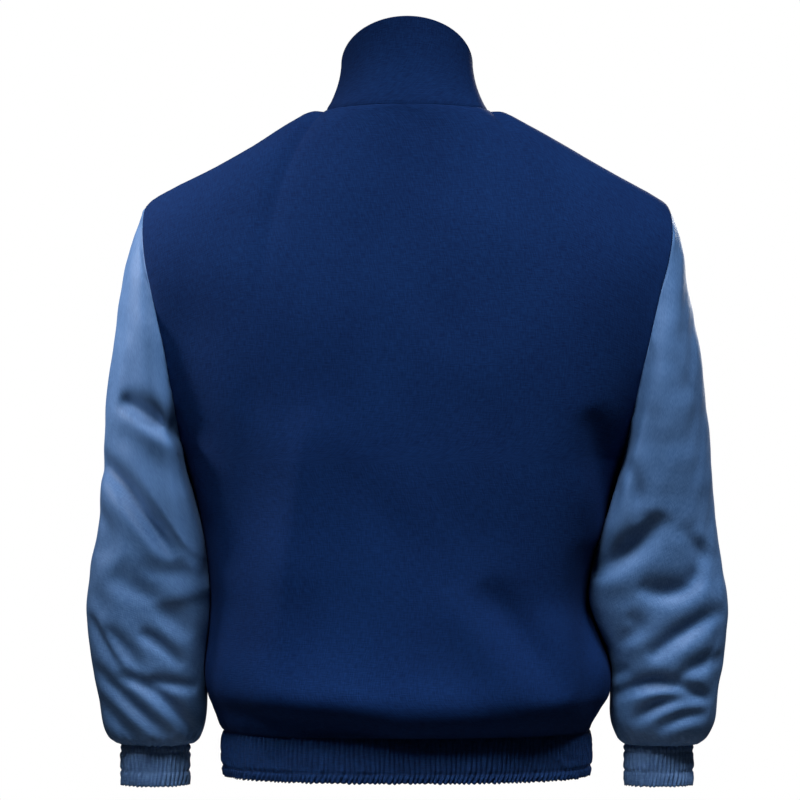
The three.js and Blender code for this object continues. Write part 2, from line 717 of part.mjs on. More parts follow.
// A side view, drawn outwards (-Y) and upwards, made as thick as width across X.
function acrossX(shape, width) {
  const geometry = new THREE.ExtrudeGeometry(shape, { depth: width, bevelEnabled: false });
  geometry.translate(0, 0, -width / 2);
  const turn = new THREE.Matrix4().makeBasis(
    new THREE.Vector3(0, -1, 0),
    new THREE.Vector3(0, 0, 1),
    new THREE.Vector3(-1, 0, 0),
  );
  return geometry.applyMatrix4(turn);
}

function polygon(points) {
  return new THREE.Shape(points.map(([x, y]) => new THREE.Vector2(x, y)));
}

// The slider's own frame stands on the outside of the collar at the zip's top end:
// out is away from the cloth, and up is along the zip.
const teethFront = -(WALL + ZIP.clear) + ZIP.teethProud;
const tapeBack = -(WALL + ZIP.clear) - ZIP.tape;
const plateFront = teethFront + SLIDER.clear + SLIDER.plate;
const plateBack = tapeBack - SLIDER.clear - SLIDER.plate;
const sliderTop = SLIDER.clear + SLIDER.web;
const sliderFoot = sliderTop - SLIDER.height;
const pinOut = plateFront + BRIDGE.reach / 2;
const pinUp = (sliderTop + sliderFoot) / 2;

function sliderGeometry() {
  const plates = polygon([
    [plateFront, sliderFoot],
    [plateFront, sliderTop],
    [plateBack, sliderTop],
    [plateBack, sliderFoot],
    [plateBack + SLIDER.plate, sliderFoot],
    [plateBack + SLIDER.plate, SLIDER.clear],
    [plateFront - SLIDER.plate, SLIDER.clear],
    [plateFront - SLIDER.plate, sliderFoot],
  ]);
  const rootOut = plateFront - SLIDER.plate / 2;
  const reachOut = plateFront + BRIDGE.reach;
  const half = BRIDGE.opening / 2;
  const bridge = polygon([
    [rootOut, pinUp - half - BRIDGE.bar],
    [reachOut + BRIDGE.bar, pinUp - half],
    [reachOut + BRIDGE.bar, pinUp + half],
    [rootOut, pinUp + half + BRIDGE.bar],
    [rootOut, pinUp + half],
    [reachOut, pinUp + half],
    [reachOut, pinUp - half],
    [rootOut, pinUp - half],
  ]);
  const body = toSolid(acrossX(plates, SLIDER.width));
  return fromSolid(body.add(toSolid(acrossX(bridge, BRIDGE.width))));
}

// The pull hangs from its top bar, which lies in the slider's bridge. Its own frame is
// centred on that bar.
function pullGeometry() {
  const half = PULL.width / 2;
  const foot = PULL.bar / 2 - PULL.length;
  const outline = new THREE.Shape();
  outline.moveTo(-half, PULL.bar / 2);
  outline.lineTo(-half, foot + half);
  outline.absarc(0, foot + half, half, Math.PI, 2 * Math.PI, false);
  outline.lineTo(half, PULL.bar / 2);
  outline.closePath();
  const top = -PULL.bar / 2;
  const reach = PULL.windowWidth / 2;
  const hole = [
    [-reach, top],
    [reach, top],
    [reach, top - PULL.window],
    [-reach, top - PULL.window],
  ];
  outline.holes.push(new THREE.Path(hole.map(([x, y]) => new THREE.Vector2(x, y))));
  const geometry = new THREE.ExtrudeGeometry(outline, {
    depth: PULL.thickness,
    bevelEnabled: false,
    curveSegments: 10,
  });
  geometry.translate(0, 0, -PULL.thickness / 2);
  return geometry.rotateX(Math.PI / 2);
}

// ---------------------------------------------------------------- the jacket

const jacket = new THREE.Group();

function addMesh(parent, name, geometry, finish) {
  const mesh = new THREE.Mesh(geometry, new THREE.MeshStandardMaterial(finish));
  mesh.name = name;
  parent.add(mesh);
  return mesh;
}

const flat = { back: backGrid(), frontLeft: frontGrid(LEFT), frontRight: frontGrid(RIGHT) };
const hemRows = hemGrid(flat);
const collarRows = collarGrid();

const cloth = [
  { name: "back", finish: "navy", rows: foldGrid(flat.back, false, 1, BODY_FOLDS) },
  { name: "front_left", finish: "navy", rows: foldGrid(flat.frontLeft, false, 1, BODY_FOLDS) },
  { name: "front_right", finish: "navy", rows: foldGrid(flat.frontRight, false, 1, BODY_FOLDS) },
  { name: "hem_band", finish: "hem", rows: hemRows },
  { name: "collar", finish: "navy", rows: collarRows },
];
for (const side of [LEFT, RIGHT]) {
  const suffix = named(side, "left", "right");
  const sleeve = foldGrid(sleeveGrid(side), true, side, SLEEVE_FOLDS[side]);
  cloth.push({ name: `sleeve_${suffix}`, finish: "steelBlue", rows: sleeve, closed: true });
  cloth.push({ name: `cuff_${suffix}`, finish: "cuff", rows: cuffGrid(side), closed: true });
}

const meetings = seamNormals(cloth);
for (const panel of cloth) {
  const closed = panel.closed ?? false;
  const { outer, inner } = openSeams(panel.rows, innerGrid(panel, meetings), closed);
  addMesh(jacket, panel.name, wallGeometry(outer, inner, closed), COLOURS[panel.finish]);
}

const line = zipLine(hemRows, flat.frontLeft, collarRows);
addMesh(jacket, "zip_tape_left", zipGeometry(LEFT, line), COLOURS.tape);
addMesh(jacket, "zip_tape_right", zipGeometry(RIGHT, line), COLOURS.tape);

const zipTop = line[line.length - 1];
const lean = outwards(line, line.length - 1);
const sliderGroup = new THREE.Group();
sliderGroup.position.set(0, zipTop.x, zipTop.y);
sliderGroup.rotation.x = Math.atan2(-lean.y, -lean.x);
addMesh(sliderGroup, "zip_slider", sliderGeometry(), COLOURS.metal);
const pull = addMesh(sliderGroup, "zip_pull", pullGeometry(), COLOURS.metal);
pull.position.set(0, -pinOut, pinUp);
jacket.add(sliderGroup);

export default jacket;
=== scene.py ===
# %% [markdown]
# # A zipped track jacket, filled out as if worn
#
# The jacket is a hollow shell of cloth: a back, two fronts, two sleeves and a stand collar of
# closely woven cloth, with a gathered band at the hem and at each wrist, and a zip in front.
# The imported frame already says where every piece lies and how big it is. This lesson gives
# each of those pieces its real surface: seams that sink in, creases where the arms bend,
# gathers held by elastic, stitches, zip teeth and woven colour.

import math

import bpy
import numpy as np
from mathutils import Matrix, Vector


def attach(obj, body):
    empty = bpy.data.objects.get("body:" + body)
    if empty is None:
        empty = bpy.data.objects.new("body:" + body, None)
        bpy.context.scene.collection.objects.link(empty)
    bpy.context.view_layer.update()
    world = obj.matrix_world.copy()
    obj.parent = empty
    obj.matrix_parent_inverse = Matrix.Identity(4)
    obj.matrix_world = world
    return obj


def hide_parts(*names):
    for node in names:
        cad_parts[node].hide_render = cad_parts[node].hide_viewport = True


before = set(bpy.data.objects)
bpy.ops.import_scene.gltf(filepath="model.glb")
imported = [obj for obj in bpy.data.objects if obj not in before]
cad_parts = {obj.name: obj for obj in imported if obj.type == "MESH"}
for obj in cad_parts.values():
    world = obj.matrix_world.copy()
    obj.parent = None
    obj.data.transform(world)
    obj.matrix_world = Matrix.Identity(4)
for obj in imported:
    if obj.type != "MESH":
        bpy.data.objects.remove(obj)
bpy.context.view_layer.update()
print("pieces in the frame:", ", ".join(sorted(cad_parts)))

# %% [markdown]
# ## Camera first
#
# The jacket is seen from behind, level with the middle of the back, from four metres away
# through a long lens. So little perspective is left that its outline is nearly a flat drawing.

# %% Camera
CAMERA_PLACE = (0.007, 4.0, -0.290)
LENS = 180
SENSOR = 36


def put_in_scene(name, data):
    """A new object with this mesh, lamp or camera, where its data says."""
    thing = bpy.data.objects.new(name, data)
    bpy.context.scene.collection.objects.link(thing)
    return thing


camera = put_in_scene("camera", bpy.data.cameras.new("camera"))
camera.location = CAMERA_PLACE
camera.rotation_euler = (math.radians(90), 0, math.radians(180))
camera.data.lens = LENS
camera.data.sensor_width = SENSOR
bpy.context.scene.camera = camera
print("camera", CAMERA_PLACE, "looks along -Y with a lens of", LENS, "mm")

# %% [markdown]
# ## Sizes of the cut
#
# A garment maker measures in millimetres, so these tables do too, and meshes are turned into
# metres when they are made. The fronts face -Y, the back faces +Y, the wearer's left is +X,
# and the origin is the middle of the neck opening. Each table has named columns and a row
# for each section, from which smooth curves are read.

# %% Driving sizes and tables
MM = 0.001
LEFT, RIGHT = 1, -1
BACK, FRONT = 1, -1
QUARTER_TURN = math.pi / 2  # the angle from the centre line to the side of the body

GRID = 3.6  # between two points of a panel's surface
SLEEVE_GRID = 2.7  # a sleeve has the finest creases
CLOTH = 1.1  # thickness of the woven cloth
BODY_ROUNDNESS = 2.5  # 2 is an ellipse, more is squarer
ZIP_EDGE = 5  # from the centre line to each front edge
PANEL_EDGE = {BACK: 0, FRONT: ZIP_EDGE}  # where each panel starts, out from the centre line
ARMPIT_Z = -350
SHOULDER_X, SHOULDER_Z = 260, -96
ARMHOLE_DEPTH = {BACK: 80, FRONT: 72}
LIFT_START, LIFT_POWER = 0.1, 1.5  # how the rows rise from the armhole to the shoulder
SHOULDER_SPACING = 1.4  # columns stand closer together towards the neck
NECK = {"x": 81, "y": 75, "side_z": -3, "front_curve": 1.4, BACK: 1, FRONT: -72}
RIM = {"x": 65, "y": 60, "back_z": 88.5, "slope": 0.72, "flare": 2.2}
HEM = {"bottom_z": -662, "swell": 1.5, "tuck": 0.6}
CUFF = {
    "x": 252.5, "width": 33.5, "depth": 29, "y": -15, "top_z": -635, "bottom_z": -675, "tuck": 0.6,
}


def table(columns, *rows):
    """One array for each named column."""
    return dict(zip(columns.split(), np.array(rows, float).T))


TORSO = table(
    "z left right back front",  # half-widths on each side, and depths
    (-619, 182, 181, 117, 117),
    (-612, 186, 184, 132, 128),
    (-605, 189.5, 188, 141, 134),
    (-596, 193, 193, 147.5, 137.5),
    (-582, 198, 201, 150, 138.5),
    (-556, 201, 203, 145, 138),
    (-524, 198, 193, 140, 136),
    (-490, 196, 181, 137, 134),
    (-455, 198, 184, 136.5, 133),
    (-420, 203, 194, 136, 134),
    (-385, 211, 205, 137, 137),
    (ARMPIT_Z, 221, 214, 138, 140),
)
HEM_SEAM_Z = TORSO["z"][0]
PROFILE = {
    BACK: table(
        "z depth",
        (ARMPIT_Z, 138), (-290, 138), (-240, 136), (-190, 131), (-140, 123),
        (-90, 109), (-50, 95.5), (-20, 83.5), (NECK[BACK], NECK["y"]),
    ),
    FRONT: table(
        "z depth",
        (ARMPIT_Z, 140), (-290, 140), (-240, 135), (-190, 124), (-140, 104),
        (-100, 87), (NECK[FRONT], NECK["y"]),
    ),
}
ARMHOLE = table(
    "z left right",
    (ARMPIT_Z, 221, 214), (-290, 230.5, 225), (-240, 238.5, 236), (-209, 245.5, 243),
    (-182, 251.5, 249.5), (-156, 257.5, 257), (-129, 261, 262), (-106, 261.5, 262),
    (SHOULDER_Z, SHOULDER_X, SHOULDER_X),
)
SHOULDER = table(
    "x z",
    (NECK["x"], NECK["side_z"]), (93, -2.5), (107, -8.5), (150, -34), (204, -64.5),
    (241, -84), (SHOULDER_X, SHOULDER_Z),
)
# A sleeve's section is a ring through a point on its outer line and one on its underarm line.
SLEEVE = table(
    "out_z out_left out_right in_z in_left in_right back front y square",
    (-96, 260, 260, -350, 221, 214, 80, 72, 0, 2),
    (-140, 276, 274, -366, 217.5, 211, 86, 78, -1, 2.3),
    (-190, 286.5, 282, -386, 211.5, 205, 88, 82, -2, 2.8),
    (-245, 294.5, 292.5, -410, 205, 197, 87, 83, -4, 3.2),
    (-300, 300, 299, -436, 200, 189, 83, 80, -6, 3.4),
    (-360, 304.5, 304.5, -462, 197, 182, 77, 76, -8, 3.4),
    (-415, 309, 309, -487, 195, 179, 71, 71, -10, 3.4),
    (-460, 315.5, 316, -512, 195, 185, 66, 67, -12, 3.4),
    (-500, 320.5, 321, -537, 199, 198, 63, 64, -13, 3.2),
    (-540, 317, 317, -562, 201, 204, 60, 61, -14, 2.8),
    (-580, 311, 312, -588, 201, 204, 57, 58, -15, 2.4),
    (-610, 305.5, 308, -611, 203, 205, 51, 51, -15, 2.2),
    (-627, 299, 301, -628, 208, 211, 43, 43, -15, 2),
    (-634, 290.5, 292, -634, 214.5, 217, 35, 35, -15, 2),
    (-635, 286, 286, -635, 219, 219, 29, 29, -15, 2),
)
ARMHOLE_SETTLE = 149  # down the outer line, where the sleeve leaves the armhole's own shape
print("sections: body", len(TORSO["z"]), "sleeve", len(SLEEVE["out_z"]))

# %% [markdown]
# ## Reading smooth curves from a short table
#
# A spline through a few measured sections is how a cutter draws a side seam: it needs few
# numbers, and its slope never jumps. The helpers below read such a curve at any height.

# %% Curve helpers
def lerp(a, b, t):
    return a + (b - a) * t


def smoothstep(low, high, x):
    t = np.clip((x - low) / (high - low), 0, 1)
    return t * t * (3 - 2 * t)


def smooth(rows, key, at, column):
    """A smooth curve through one column of a table, read at values of its key column."""
    keys, values = rows[key], rows[column]
    if keys[0] > keys[-1]:
        keys, values = keys[::-1], values[::-1]
    around = np.r_[0, np.arange(len(keys)), len(keys) - 1]
    before, after = around[:-2], around[2:]
    slope = (values[after] - values[before]) / (keys[after] - keys[before])
    i = np.clip(np.searchsorted(keys, at, side="right") - 1, 0, len(keys) - 2)
    span = keys[i + 1] - keys[i]
    t = np.clip((at - keys[i]) / span, 0, 1)
    ends = (2 * t**3 - 3 * t**2 + 1) * values[i] + (3 * t**2 - 2 * t**3) * values[i + 1]
    return ends + ((t**3 - 2 * t**2 + t) * slope[i] + (t**3 - t**2) * slope[i + 1]) * span


def superellipse(fraction, roundness):
    return np.maximum(1 - fraction**roundness, 0) ** (1 / roundness)


def named(side):
    return "left" if side == LEFT else "right"


SEAM_STEPS = np.array([0.35, 0.7])  # the extra rows beside a seam, in steps of the grid
FEWEST_STEPS = 4


def steps(length, fine_start=True, fine_end=True, spacing=GRID):
    """Fractions from 0 to 1 a grid's spacing apart, with two more close to an end with a seam."""
    even = np.linspace(0, 1, max(round(length / spacing), FEWEST_STEPS) + 1)
    near = even[1] * SEAM_STEPS
    start = near if fine_start else []
    end = 1 - near[::-1] if fine_end else []
    return np.r_[0, start, even[1:-1], end, 1]


def lengths(points):
    """The running length along a line of points."""
    return np.r_[0, np.cumsum(np.linalg.norm(np.diff(points, axis=0), axis=1))]


def respaced(points, fractions):
    """The points at these fractions of the line's length."""
    run = lengths(points)
    return np.stack([np.interp(fractions * run[-1], run, axis) for axis in points.T], axis=-1)


print("waist half-width at z -490:", smooth(TORSO, "z", np.array([-490]), "left"))

# %% [markdown]
# ## The body's shape
#
# Worn cloth hangs from the shoulders and blouses out over the band at the hem. Below the
# armpit each level is a flattened oval. Above it, each row of the grid starts on the armhole
# seam and rises to the shoulder seam, the way the cloth itself is stretched over a shoulder.

# %% Body surface
def neck_point(side, face, turn):
    """The neck seam, a quarter turn at a time: turn 0 is the centre line, 1 the side."""
    angle = turn * QUARTER_TURN
    x = lerp(PANEL_EDGE[face], NECK["x"], np.sin(angle))
    power = 1 if face == BACK else NECK["front_curve"]
    z = lerp(NECK["side_z"], NECK[face], np.maximum(np.cos(angle), 0) ** power)
    return np.stack([side * x, face * NECK["y"] * np.cos(angle), z], axis=-1)


def top_edge(side, face, across):
    """The neck seam over the first half of a panel, then the shoulder seam."""
    neck = neck_point(side, face, np.minimum(across * 2, 1))
    x = lerp(NECK["x"], SHOULDER_X, np.maximum(across * 2 - 1, 0) ** SHOULDER_SPACING)
    seam = np.stack([side * x, 0 * x, smooth(SHOULDER, "x", x, "z")], axis=-1)
    return np.where((across <= 0.5)[:, None], neck, seam)


def lower_points(side, face, across, z):
    """Points of the oval at height z, below the armpit."""
    half_width = smooth(TORSO, "z", z, named(side))
    depth = smooth(TORSO, "z", z, "back" if face == BACK else "front")
    x = lerp(PANEL_EDGE[face], half_width, np.sin(across * QUARTER_TURN))
    y = face * depth * superellipse(x / half_width, BODY_ROUNDNESS)
    return np.stack([side * x, y, z + 0 * x], axis=-1)


def armhole_height(q):
    """Height on the armhole seam: q runs from 0 at the armpit to 1 at the shoulder point."""
    return lerp(ARMPIT_Z, SHOULDER_Z, (1 - np.cos(np.pi * q)) / 2)


def upper_points(side, face, across, q):
    """Points of the row that starts at q on the armhole, above the armpit."""
    q = np.minimum(q, 1 - 1e-9)
    top = top_edge(side, face, across)
    edge_z = armhole_height(q)
    edge_x = smooth(ARMHOLE, "z", edge_z, named(side))
    lift = (np.maximum(q - LIFT_START, 0) / (1 - LIFT_START)) ** LIFT_POWER
    rounding = np.sqrt(1 - lift**2)
    centre_z = edge_z + (NECK[face] - SHOULDER_Z) * lift
    depth = smooth(PROFILE[face], "z", centre_z, "depth")
    edge_y = ARMHOLE_DEPTH[face] * np.sin(np.pi * q) / rounding
    full_width = edge_x / superellipse(edge_y / depth, BODY_ROUNDNESS)
    inner = PANEL_EDGE[face]
    evenly = np.sin(across * QUARTER_TURN)
    as_top = (np.abs(top[:, 0]) - inner) / (SHOULDER_X - inner)
    x = lerp(inner, edge_x, lerp(evenly, as_top, lift))
    y = face * depth * superellipse(x / full_width, BODY_ROUNDNESS) * rounding
    y = y + top[:, 1] * (1 - rounding)
    z = edge_z + (top[:, 2] - SHOULDER_Z) * lift
    return np.stack([side * x, y, z], axis=-1)


HALF_BREADTH = 250  # round the body from the centre line to the side seam
ARMHOLE_LENGTH = 330  # from the armpit up to the shoulder
CROWDED = 0.06  # rows of the armhole below this q would lie almost on each other


def body_half(side, face):
    """Rows upwards, columns from the centre line to the side seam."""
    across = steps(HALF_BREADTH, fine_start=face == FRONT)
    z = lerp(HEM_SEAM_Z, ARMPIT_Z, steps(ARMPIT_Z - HEM_SEAM_Z, fine_end=False))
    q = steps(ARMHOLE_LENGTH, fine_start=False)
    q = q[q > CROWDED]
    return np.concatenate([
        lower_points(side, face, across[None, :], z[:, None]),
        upper_points(side, face, across, q[:, None]),
    ])


halves = {(side, face): body_half(side, face) for side in (LEFT, RIGHT) for face in (BACK, FRONT)}
back_grid = np.concatenate([halves[LEFT, BACK][:, ::-1], halves[RIGHT, BACK][:, 1:]], axis=1)
front_grids = {LEFT: halves[LEFT, FRONT], RIGHT: halves[RIGHT, FRONT][:, ::-1]}
print("points across and up the back:", back_grid.shape[1], back_grid.shape[0])

# %% [markdown]
# ## Sleeves
#
# A sleeve is a tube of rings. Each ring leans, because the outer line of the arm starts at the
# shoulder while the inner one starts at the armpit. Its inner side is pressed flat where the
# arm rests against the body, so the two pieces touch along a line and no light shows between.

# %% Sleeve surface
SLEEVE_CLEAR = 1.3  # between the sleeve and the body it lies against
PRESS_START = 20  # that clearance opens over this height below the armpit
RING_POINTS = 196
FINE_TURN = np.linspace(0, 2 * np.pi, 721)  # angles from which even spacing is measured
FINE_LINE = 4000  # points from which heights along the outer line are measured


def body_side(side, y, z):
    """How far out the body's surface lies at a depth and a height."""
    half_width = smooth(TORSO, "z", z, named(side))
    depth = np.where(y > 0, smooth(TORSO, "z", z, "back"), smooth(TORSO, "z", z, "front"))
    return half_width * superellipse(np.minimum(np.abs(y) / depth, 1), BODY_ROUNDNESS)


def pressed(side, points):
    """Moves points of a sleeve out of the body, between the hem seam and the armpit."""
    x, y, z = np.moveaxis(points, -1, 0)
    beside = (z <= ARMPIT_Z) & (z >= HEM_SEAM_Z)
    clear = SLEEVE_CLEAR * np.clip((ARMPIT_Z - z) / PRESS_START, 0, 1)
    least = np.where(beside, body_side(side, y, z) + clear, -np.inf)
    return np.stack([side * np.maximum(side * x, least), y, z], axis=-1)


def ring_face(side, angle):
    return np.where((angle <= np.pi) == (side == LEFT), FRONT, BACK)


def ring(side, section, angle):
    """A ring of a sleeve or cuff, from the underarm round and back to it."""
    face = ring_face(side, angle)
    power = 2 / np.where(np.cos(angle) > 0, section["square"], 2)
    inwards = np.sign(np.cos(angle)) * np.abs(np.cos(angle)) ** power
    depth = np.where(face == BACK, section["back"], section["front"])
    share = (1 + inwards) / 2
    return np.stack([
        side * lerp(section["out_x"], section["in_x"], share),
        section["y"] + face * depth * np.abs(np.sin(angle)) ** power,
        lerp(section["out_z"], section["in_z"], share),
    ], axis=-1)


def sleeve_section(side, out_z):
    """The sleeve table read at one height on the outer line."""
    sources = {"out_x": "out_" + named(side), "in_x": "in_" + named(side)}
    sources |= {column: column for column in ("in_z", "back", "front", "y", "square")}
    section = {key: smooth(SLEEVE, "out_z", out_z, source) for key, source in sources.items()}
    return section | {"out_z": out_z}


def armhole_ring(side, angle):
    q = np.where(angle <= np.pi, angle, 2 * np.pi - angle) / np.pi
    face = ring_face(side, angle)
    z = armhole_height(q)
    depth = np.where(face == BACK, ARMHOLE_DEPTH[BACK], ARMHOLE_DEPTH[FRONT])
    x = smooth(ARMHOLE, "z", z, named(side))
    return np.stack([side * x, face * depth * np.sin(np.pi * q), z], axis=-1)


def sleeve_heights(side):
    """Heights on the outer line, a grid's spacing apart along it, upwards."""
    z = np.linspace(SLEEVE["out_z"][-1], SLEEVE["out_z"][0], FINE_LINE)
    line = np.stack([smooth(SLEEVE, "out_z", z, "out_" + named(side)), z], axis=-1)
    return respaced(line, steps(lengths(line)[-1], spacing=SLEEVE_GRID))[:, 1]


def sleeve_surface(side):
    """Rings upwards, each starting at the underarm. The top one is the armhole itself."""
    around = np.linspace(0, 1, RING_POINTS + 1)
    top_z = SLEEVE["out_z"][0]
    shift = armhole_ring(side, FINE_TURN) - ring(side, sleeve_section(side, top_z), FINE_TURN)
    rings = []
    for out_z in sleeve_heights(side):
        settle = max(1 - (top_z - out_z) / ARMHOLE_SETTLE, 0) ** 2
        points = ring(side, sleeve_section(side, out_z), FINE_TURN) + shift * settle
        rings.append(respaced(pressed(side, points), around)[:-1])
    return np.array(rings)


sleeve_grids = {side: sleeve_surface(side) for side in (LEFT, RIGHT)}
print("rings of a sleeve:", len(sleeve_grids[LEFT]), "points round it:", RING_POINTS)

# %% [markdown]
# ## Collar, hem band and cuffs
#
# The stand collar leans in from the neck seam to a rim that slopes down to the front. The hem
# band and the cuffs start as plain smooth bands. Their gathers come later, because gathers
# repeat, and what repeats is made by a rule.

# %% Collar and band surfaces
QUARTERS = ((LEFT, FRONT), (LEFT, BACK), (RIGHT, BACK), (RIGHT, FRONT))  # from zip to zip
COLLAR_QUARTER_LENGTH = 115
COLLAR_HEIGHT = 90


def collar_quarter(side, face):
    """From the centre line to the side."""
    turn = steps(COLLAR_QUARTER_LENGTH, fine_start=face == FRONT, fine_end=False)
    up = steps(COLLAR_HEIGHT)[:, None, None]
    neck = neck_point(side, face, turn)
    angle = turn * QUARTER_TURN
    y = face * RIM["y"] * np.cos(angle)
    x = side * lerp(PANEL_EDGE[face], RIM["x"], np.sin(angle))
    rim = np.stack([x, y, RIM["back_z"] - RIM["slope"] * (RIM["y"] - y)], axis=-1)
    share = np.concatenate([(1 - up) ** RIM["flare"]] * 2 + [1 - up], axis=-1)
    return lerp(rim, neck, share)


def zip_to_zip(quarter):
    """One strip round the body, from four quarters that each run from the centre to the side."""
    front_left, back_left, back_right, front_right = (quarter(*place) for place in QUARTERS)
    return np.concatenate(
        [front_left, back_left[:, ::-1][:, 1:], back_right[:, 1:], front_right[:, ::-1][:, 1:]], axis=1
    )


collar_grid = zip_to_zip(collar_quarter)

BAND_ROW = 1.7  # between the rows of a gathered band
SEAM_LAP = 1.5  # how far a band reaches up inside the piece it is sewn to
HEM_GATHER, HEM_GATHER_POINTS = 4.9, 8  # the width of a gather, and the points across it
CUFF_GATHER, CUFF_GATHER_POINTS = 4.5, 10
TUCKED = 0.12  # the lowest share of a band, where its edge is drawn in
QUARTER_POINTS = 400  # in each quarter of the seam that the hem band is spaced along


def band_rows(band, top_z):
    """The band's height with its lap, and the fractions of it at which its rows lie."""
    height = top_z + SEAM_LAP - band["bottom_z"]
    return height, np.linspace(0, 1, round(height / BAND_ROW) + 1)


def tuck_at(band, up):
    return band["tuck"] * (1 - smoothstep(0, TUCKED, up))


def hem_surface():
    """Rows upwards from zip to zip, and the number of gathers."""
    fine = np.linspace(0, 1, QUARTER_POINTS)[None, :]
    level = np.array([[HEM_SEAM_Z]])
    seam = zip_to_zip(lambda side, face: lower_points(side, face, fine, level))[0]
    gathers = round(lengths(seam)[-1] / HEM_GATHER)
    seam = respaced(seam, np.linspace(0, 1, gathers * HEM_GATHER_POINTS + 1))
    height, up = band_rows(HEM, HEM_SEAM_Z)
    up = up[:, None]
    scale = 1 + (HEM["swell"] * np.sin(np.pi * up) - tuck_at(HEM, up)) / TORSO["left"][0]
    beside_zip = smoothstep(ZIP_EDGE, ZIP_EDGE * 5, np.abs(seam[:, 0]))
    x = seam[:, 0] * lerp(1, scale, beside_zip)
    return np.stack([x, seam[:, 1] * scale, HEM["bottom_z"] + height * up + 0 * x], axis=-1), gathers


def cuff_ring(side, tuck, angle):
    z, width, depth = CUFF["bottom_z"], CUFF["width"] - tuck, CUFF["depth"] - tuck
    ends = {"out_x": CUFF["x"] + width, "in_x": CUFF["x"] - width, "out_z": z, "in_z": z}
    return ring(side, ends | {"back": depth, "front": depth, "y": CUFF["y"], "square": 2}, angle)


def cuff_surface(side):
    """Rings upwards, and the number of gathers."""
    gathers = round(lengths(cuff_ring(side, 0, FINE_TURN))[-1] / CUFF_GATHER)
    around = np.linspace(0, 2 * np.pi, gathers * CUFF_GATHER_POINTS + 1)[:-1]
    height, up = band_rows(CUFF, CUFF["top_z"])
    rings = [cuff_ring(side, tuck_at(CUFF, share), around) + (0, 0, height * share) for share in up]
    return np.array(rings), gathers


hem_grid, hem_gathers = hem_surface()
cuff_grids = {side: cuff_surface(side) for side in (LEFT, RIGHT)}
print("gathers: hem", hem_gathers, "cuff", cuff_grids[LEFT][1])

# %% [markdown]
# ## Seams
#
# A sewn seam holds its edge down while the cloth beside it stands a little proud, so a seam is
# seen as a soft groove. Its stitches also draw up small puckers, which fade within a finger's
# breadth of it.

# %% Seams and surface helpers
SEAM_RISE = 0.8  # how proud the cloth stands beside a seam
SEAM_REACH = 2.2  # the width over which it rises
PUCKER = {"height": 0.45, "length": 11, "reach": 9}  # that the stitches draw up along a seam


def normals(grid, closed):
    """Outward directions. Columns run anticlockwise as seen from above, and rows upwards."""
    if closed:
        along = np.roll(grid, -1, axis=1) - np.roll(grid, 1, axis=1)
    else:
        along = np.gradient(grid, axis=1)
    out = np.cross(along, np.gradient(grid, axis=0))
    return out / np.maximum(np.linalg.norm(out, axis=-1, keepdims=True), 1e-9)


def softened(values, closed, passes=3):
    """Evens out a grid of values, each with its neighbours, so that no row jumps."""
    for _ in range(passes):
        for axis in (0, 1):
            width = [(0, 0)] * values.ndim
            width[axis] = (1, 1)
            wide = np.pad(values, width, mode="wrap" if closed and axis == 1 else "edge")
            lines = np.moveaxis(wide, axis, 0)
            values = np.moveaxis((lines[:-2] + 2 * lines[1:-1] + lines[2:]) / 4, 0, axis)
    return values


def runs(grid, axis):
    """How far each point lies along its row (axis 1) or column (axis 0)."""
    step = np.linalg.norm(np.diff(grid, axis=axis), axis=-1)
    start = [(1, 0), (0, 0)] if axis == 0 else [(0, 0), (1, 0)]
    return np.pad(np.cumsum(step, axis=axis), start)


def edge_distance(grid, closed, free=()):
    """The distance to the nearest sewn edge. free names edges that are not sewn."""
    up = runs(grid, 0)
    found = {"bottom": up, "top": up[-1:] - up}
    if not closed:
        along = runs(grid, 1)
        found |= {"first": along, "last": along[:, -1:] - along}
    return np.min([far for name, far in found.items() if name not in free], axis=0)


def ripples(points, size, seed, count=9):
    """Gentle unevenness between about -1 and 1, from a few waves of this size in mm."""
    draw = np.random.default_rng(seed)
    total = 0
    for _ in range(count):
        way = draw.normal(size=3)
        way /= np.linalg.norm(way)
        wave = 2 * np.pi / (size * draw.uniform(0.7, 1.5))
        total = total + np.sin(points @ way * wave + draw.uniform(0, 2 * np.pi))
    return total / math.sqrt(count)


def let_go(far, reach):
    """0 on a sewn edge, where the stitches hold the cloth, and 1 well past this reach."""
    return 1 - np.exp(-((far / reach) ** 2))


def seam_rise(grid, closed, seed, free=()):
    """How proud the cloth stands at each point, from nothing on a seam."""
    far = edge_distance(grid, closed, free)
    puckers = PUCKER["height"] * ripples(grid, PUCKER["length"], seed) * np.exp(-far / PUCKER["reach"])
    return (SEAM_RISE + puckers) * let_go(far, SEAM_REACH)


beside = SEAM_REACH * 2
print("cloth", beside, "mm from a seam stands at", round(let_go(beside, SEAM_REACH), 2), "of its rise")

# %% [markdown]
# ## Creases
#
# Cloth creases where the arm bends and where the cuff pushes it up. Each crease is a trough
# that follows a short curve, deepest in the middle, with the cloth it displaces raised on both
# sides. It is pressed in half square to the cloth and half straight away from where it is seen,
# so that a sharp bend never folds over itself. Its upper side is gentler than its lower one,
# because cloth hangs. The alternative, cloth simulation, makes creases of the right kind but
# never in the right places.

# %% Crease rule
HANG = 0.2  # how much gentler the upper side of a crease is, and how much steeper the lower
CREASE_POINTS = 33  # along a crease's middle line
CREASE_REACH = 4  # past this many widths a crease does nothing
TURNED_AWAY, FULLY_SEEN = -0.2, 0.35  # a crease fades where the cloth turns away from its side
TAPER = 0.6  # less keeps a crease deep nearer to its ends
NARROWED = 0.75  # the width at its ends, of that in its middle
SIDES_MEET = 2  # the upper side passes into the lower one within this distance of the middle


def trough(u):
    """1 in the middle, 0 at 1.3 widths from it, then raised a little by the cloth it displaces."""
    return (1 - 0.6 * u**2) * np.exp(-(u**1.7))


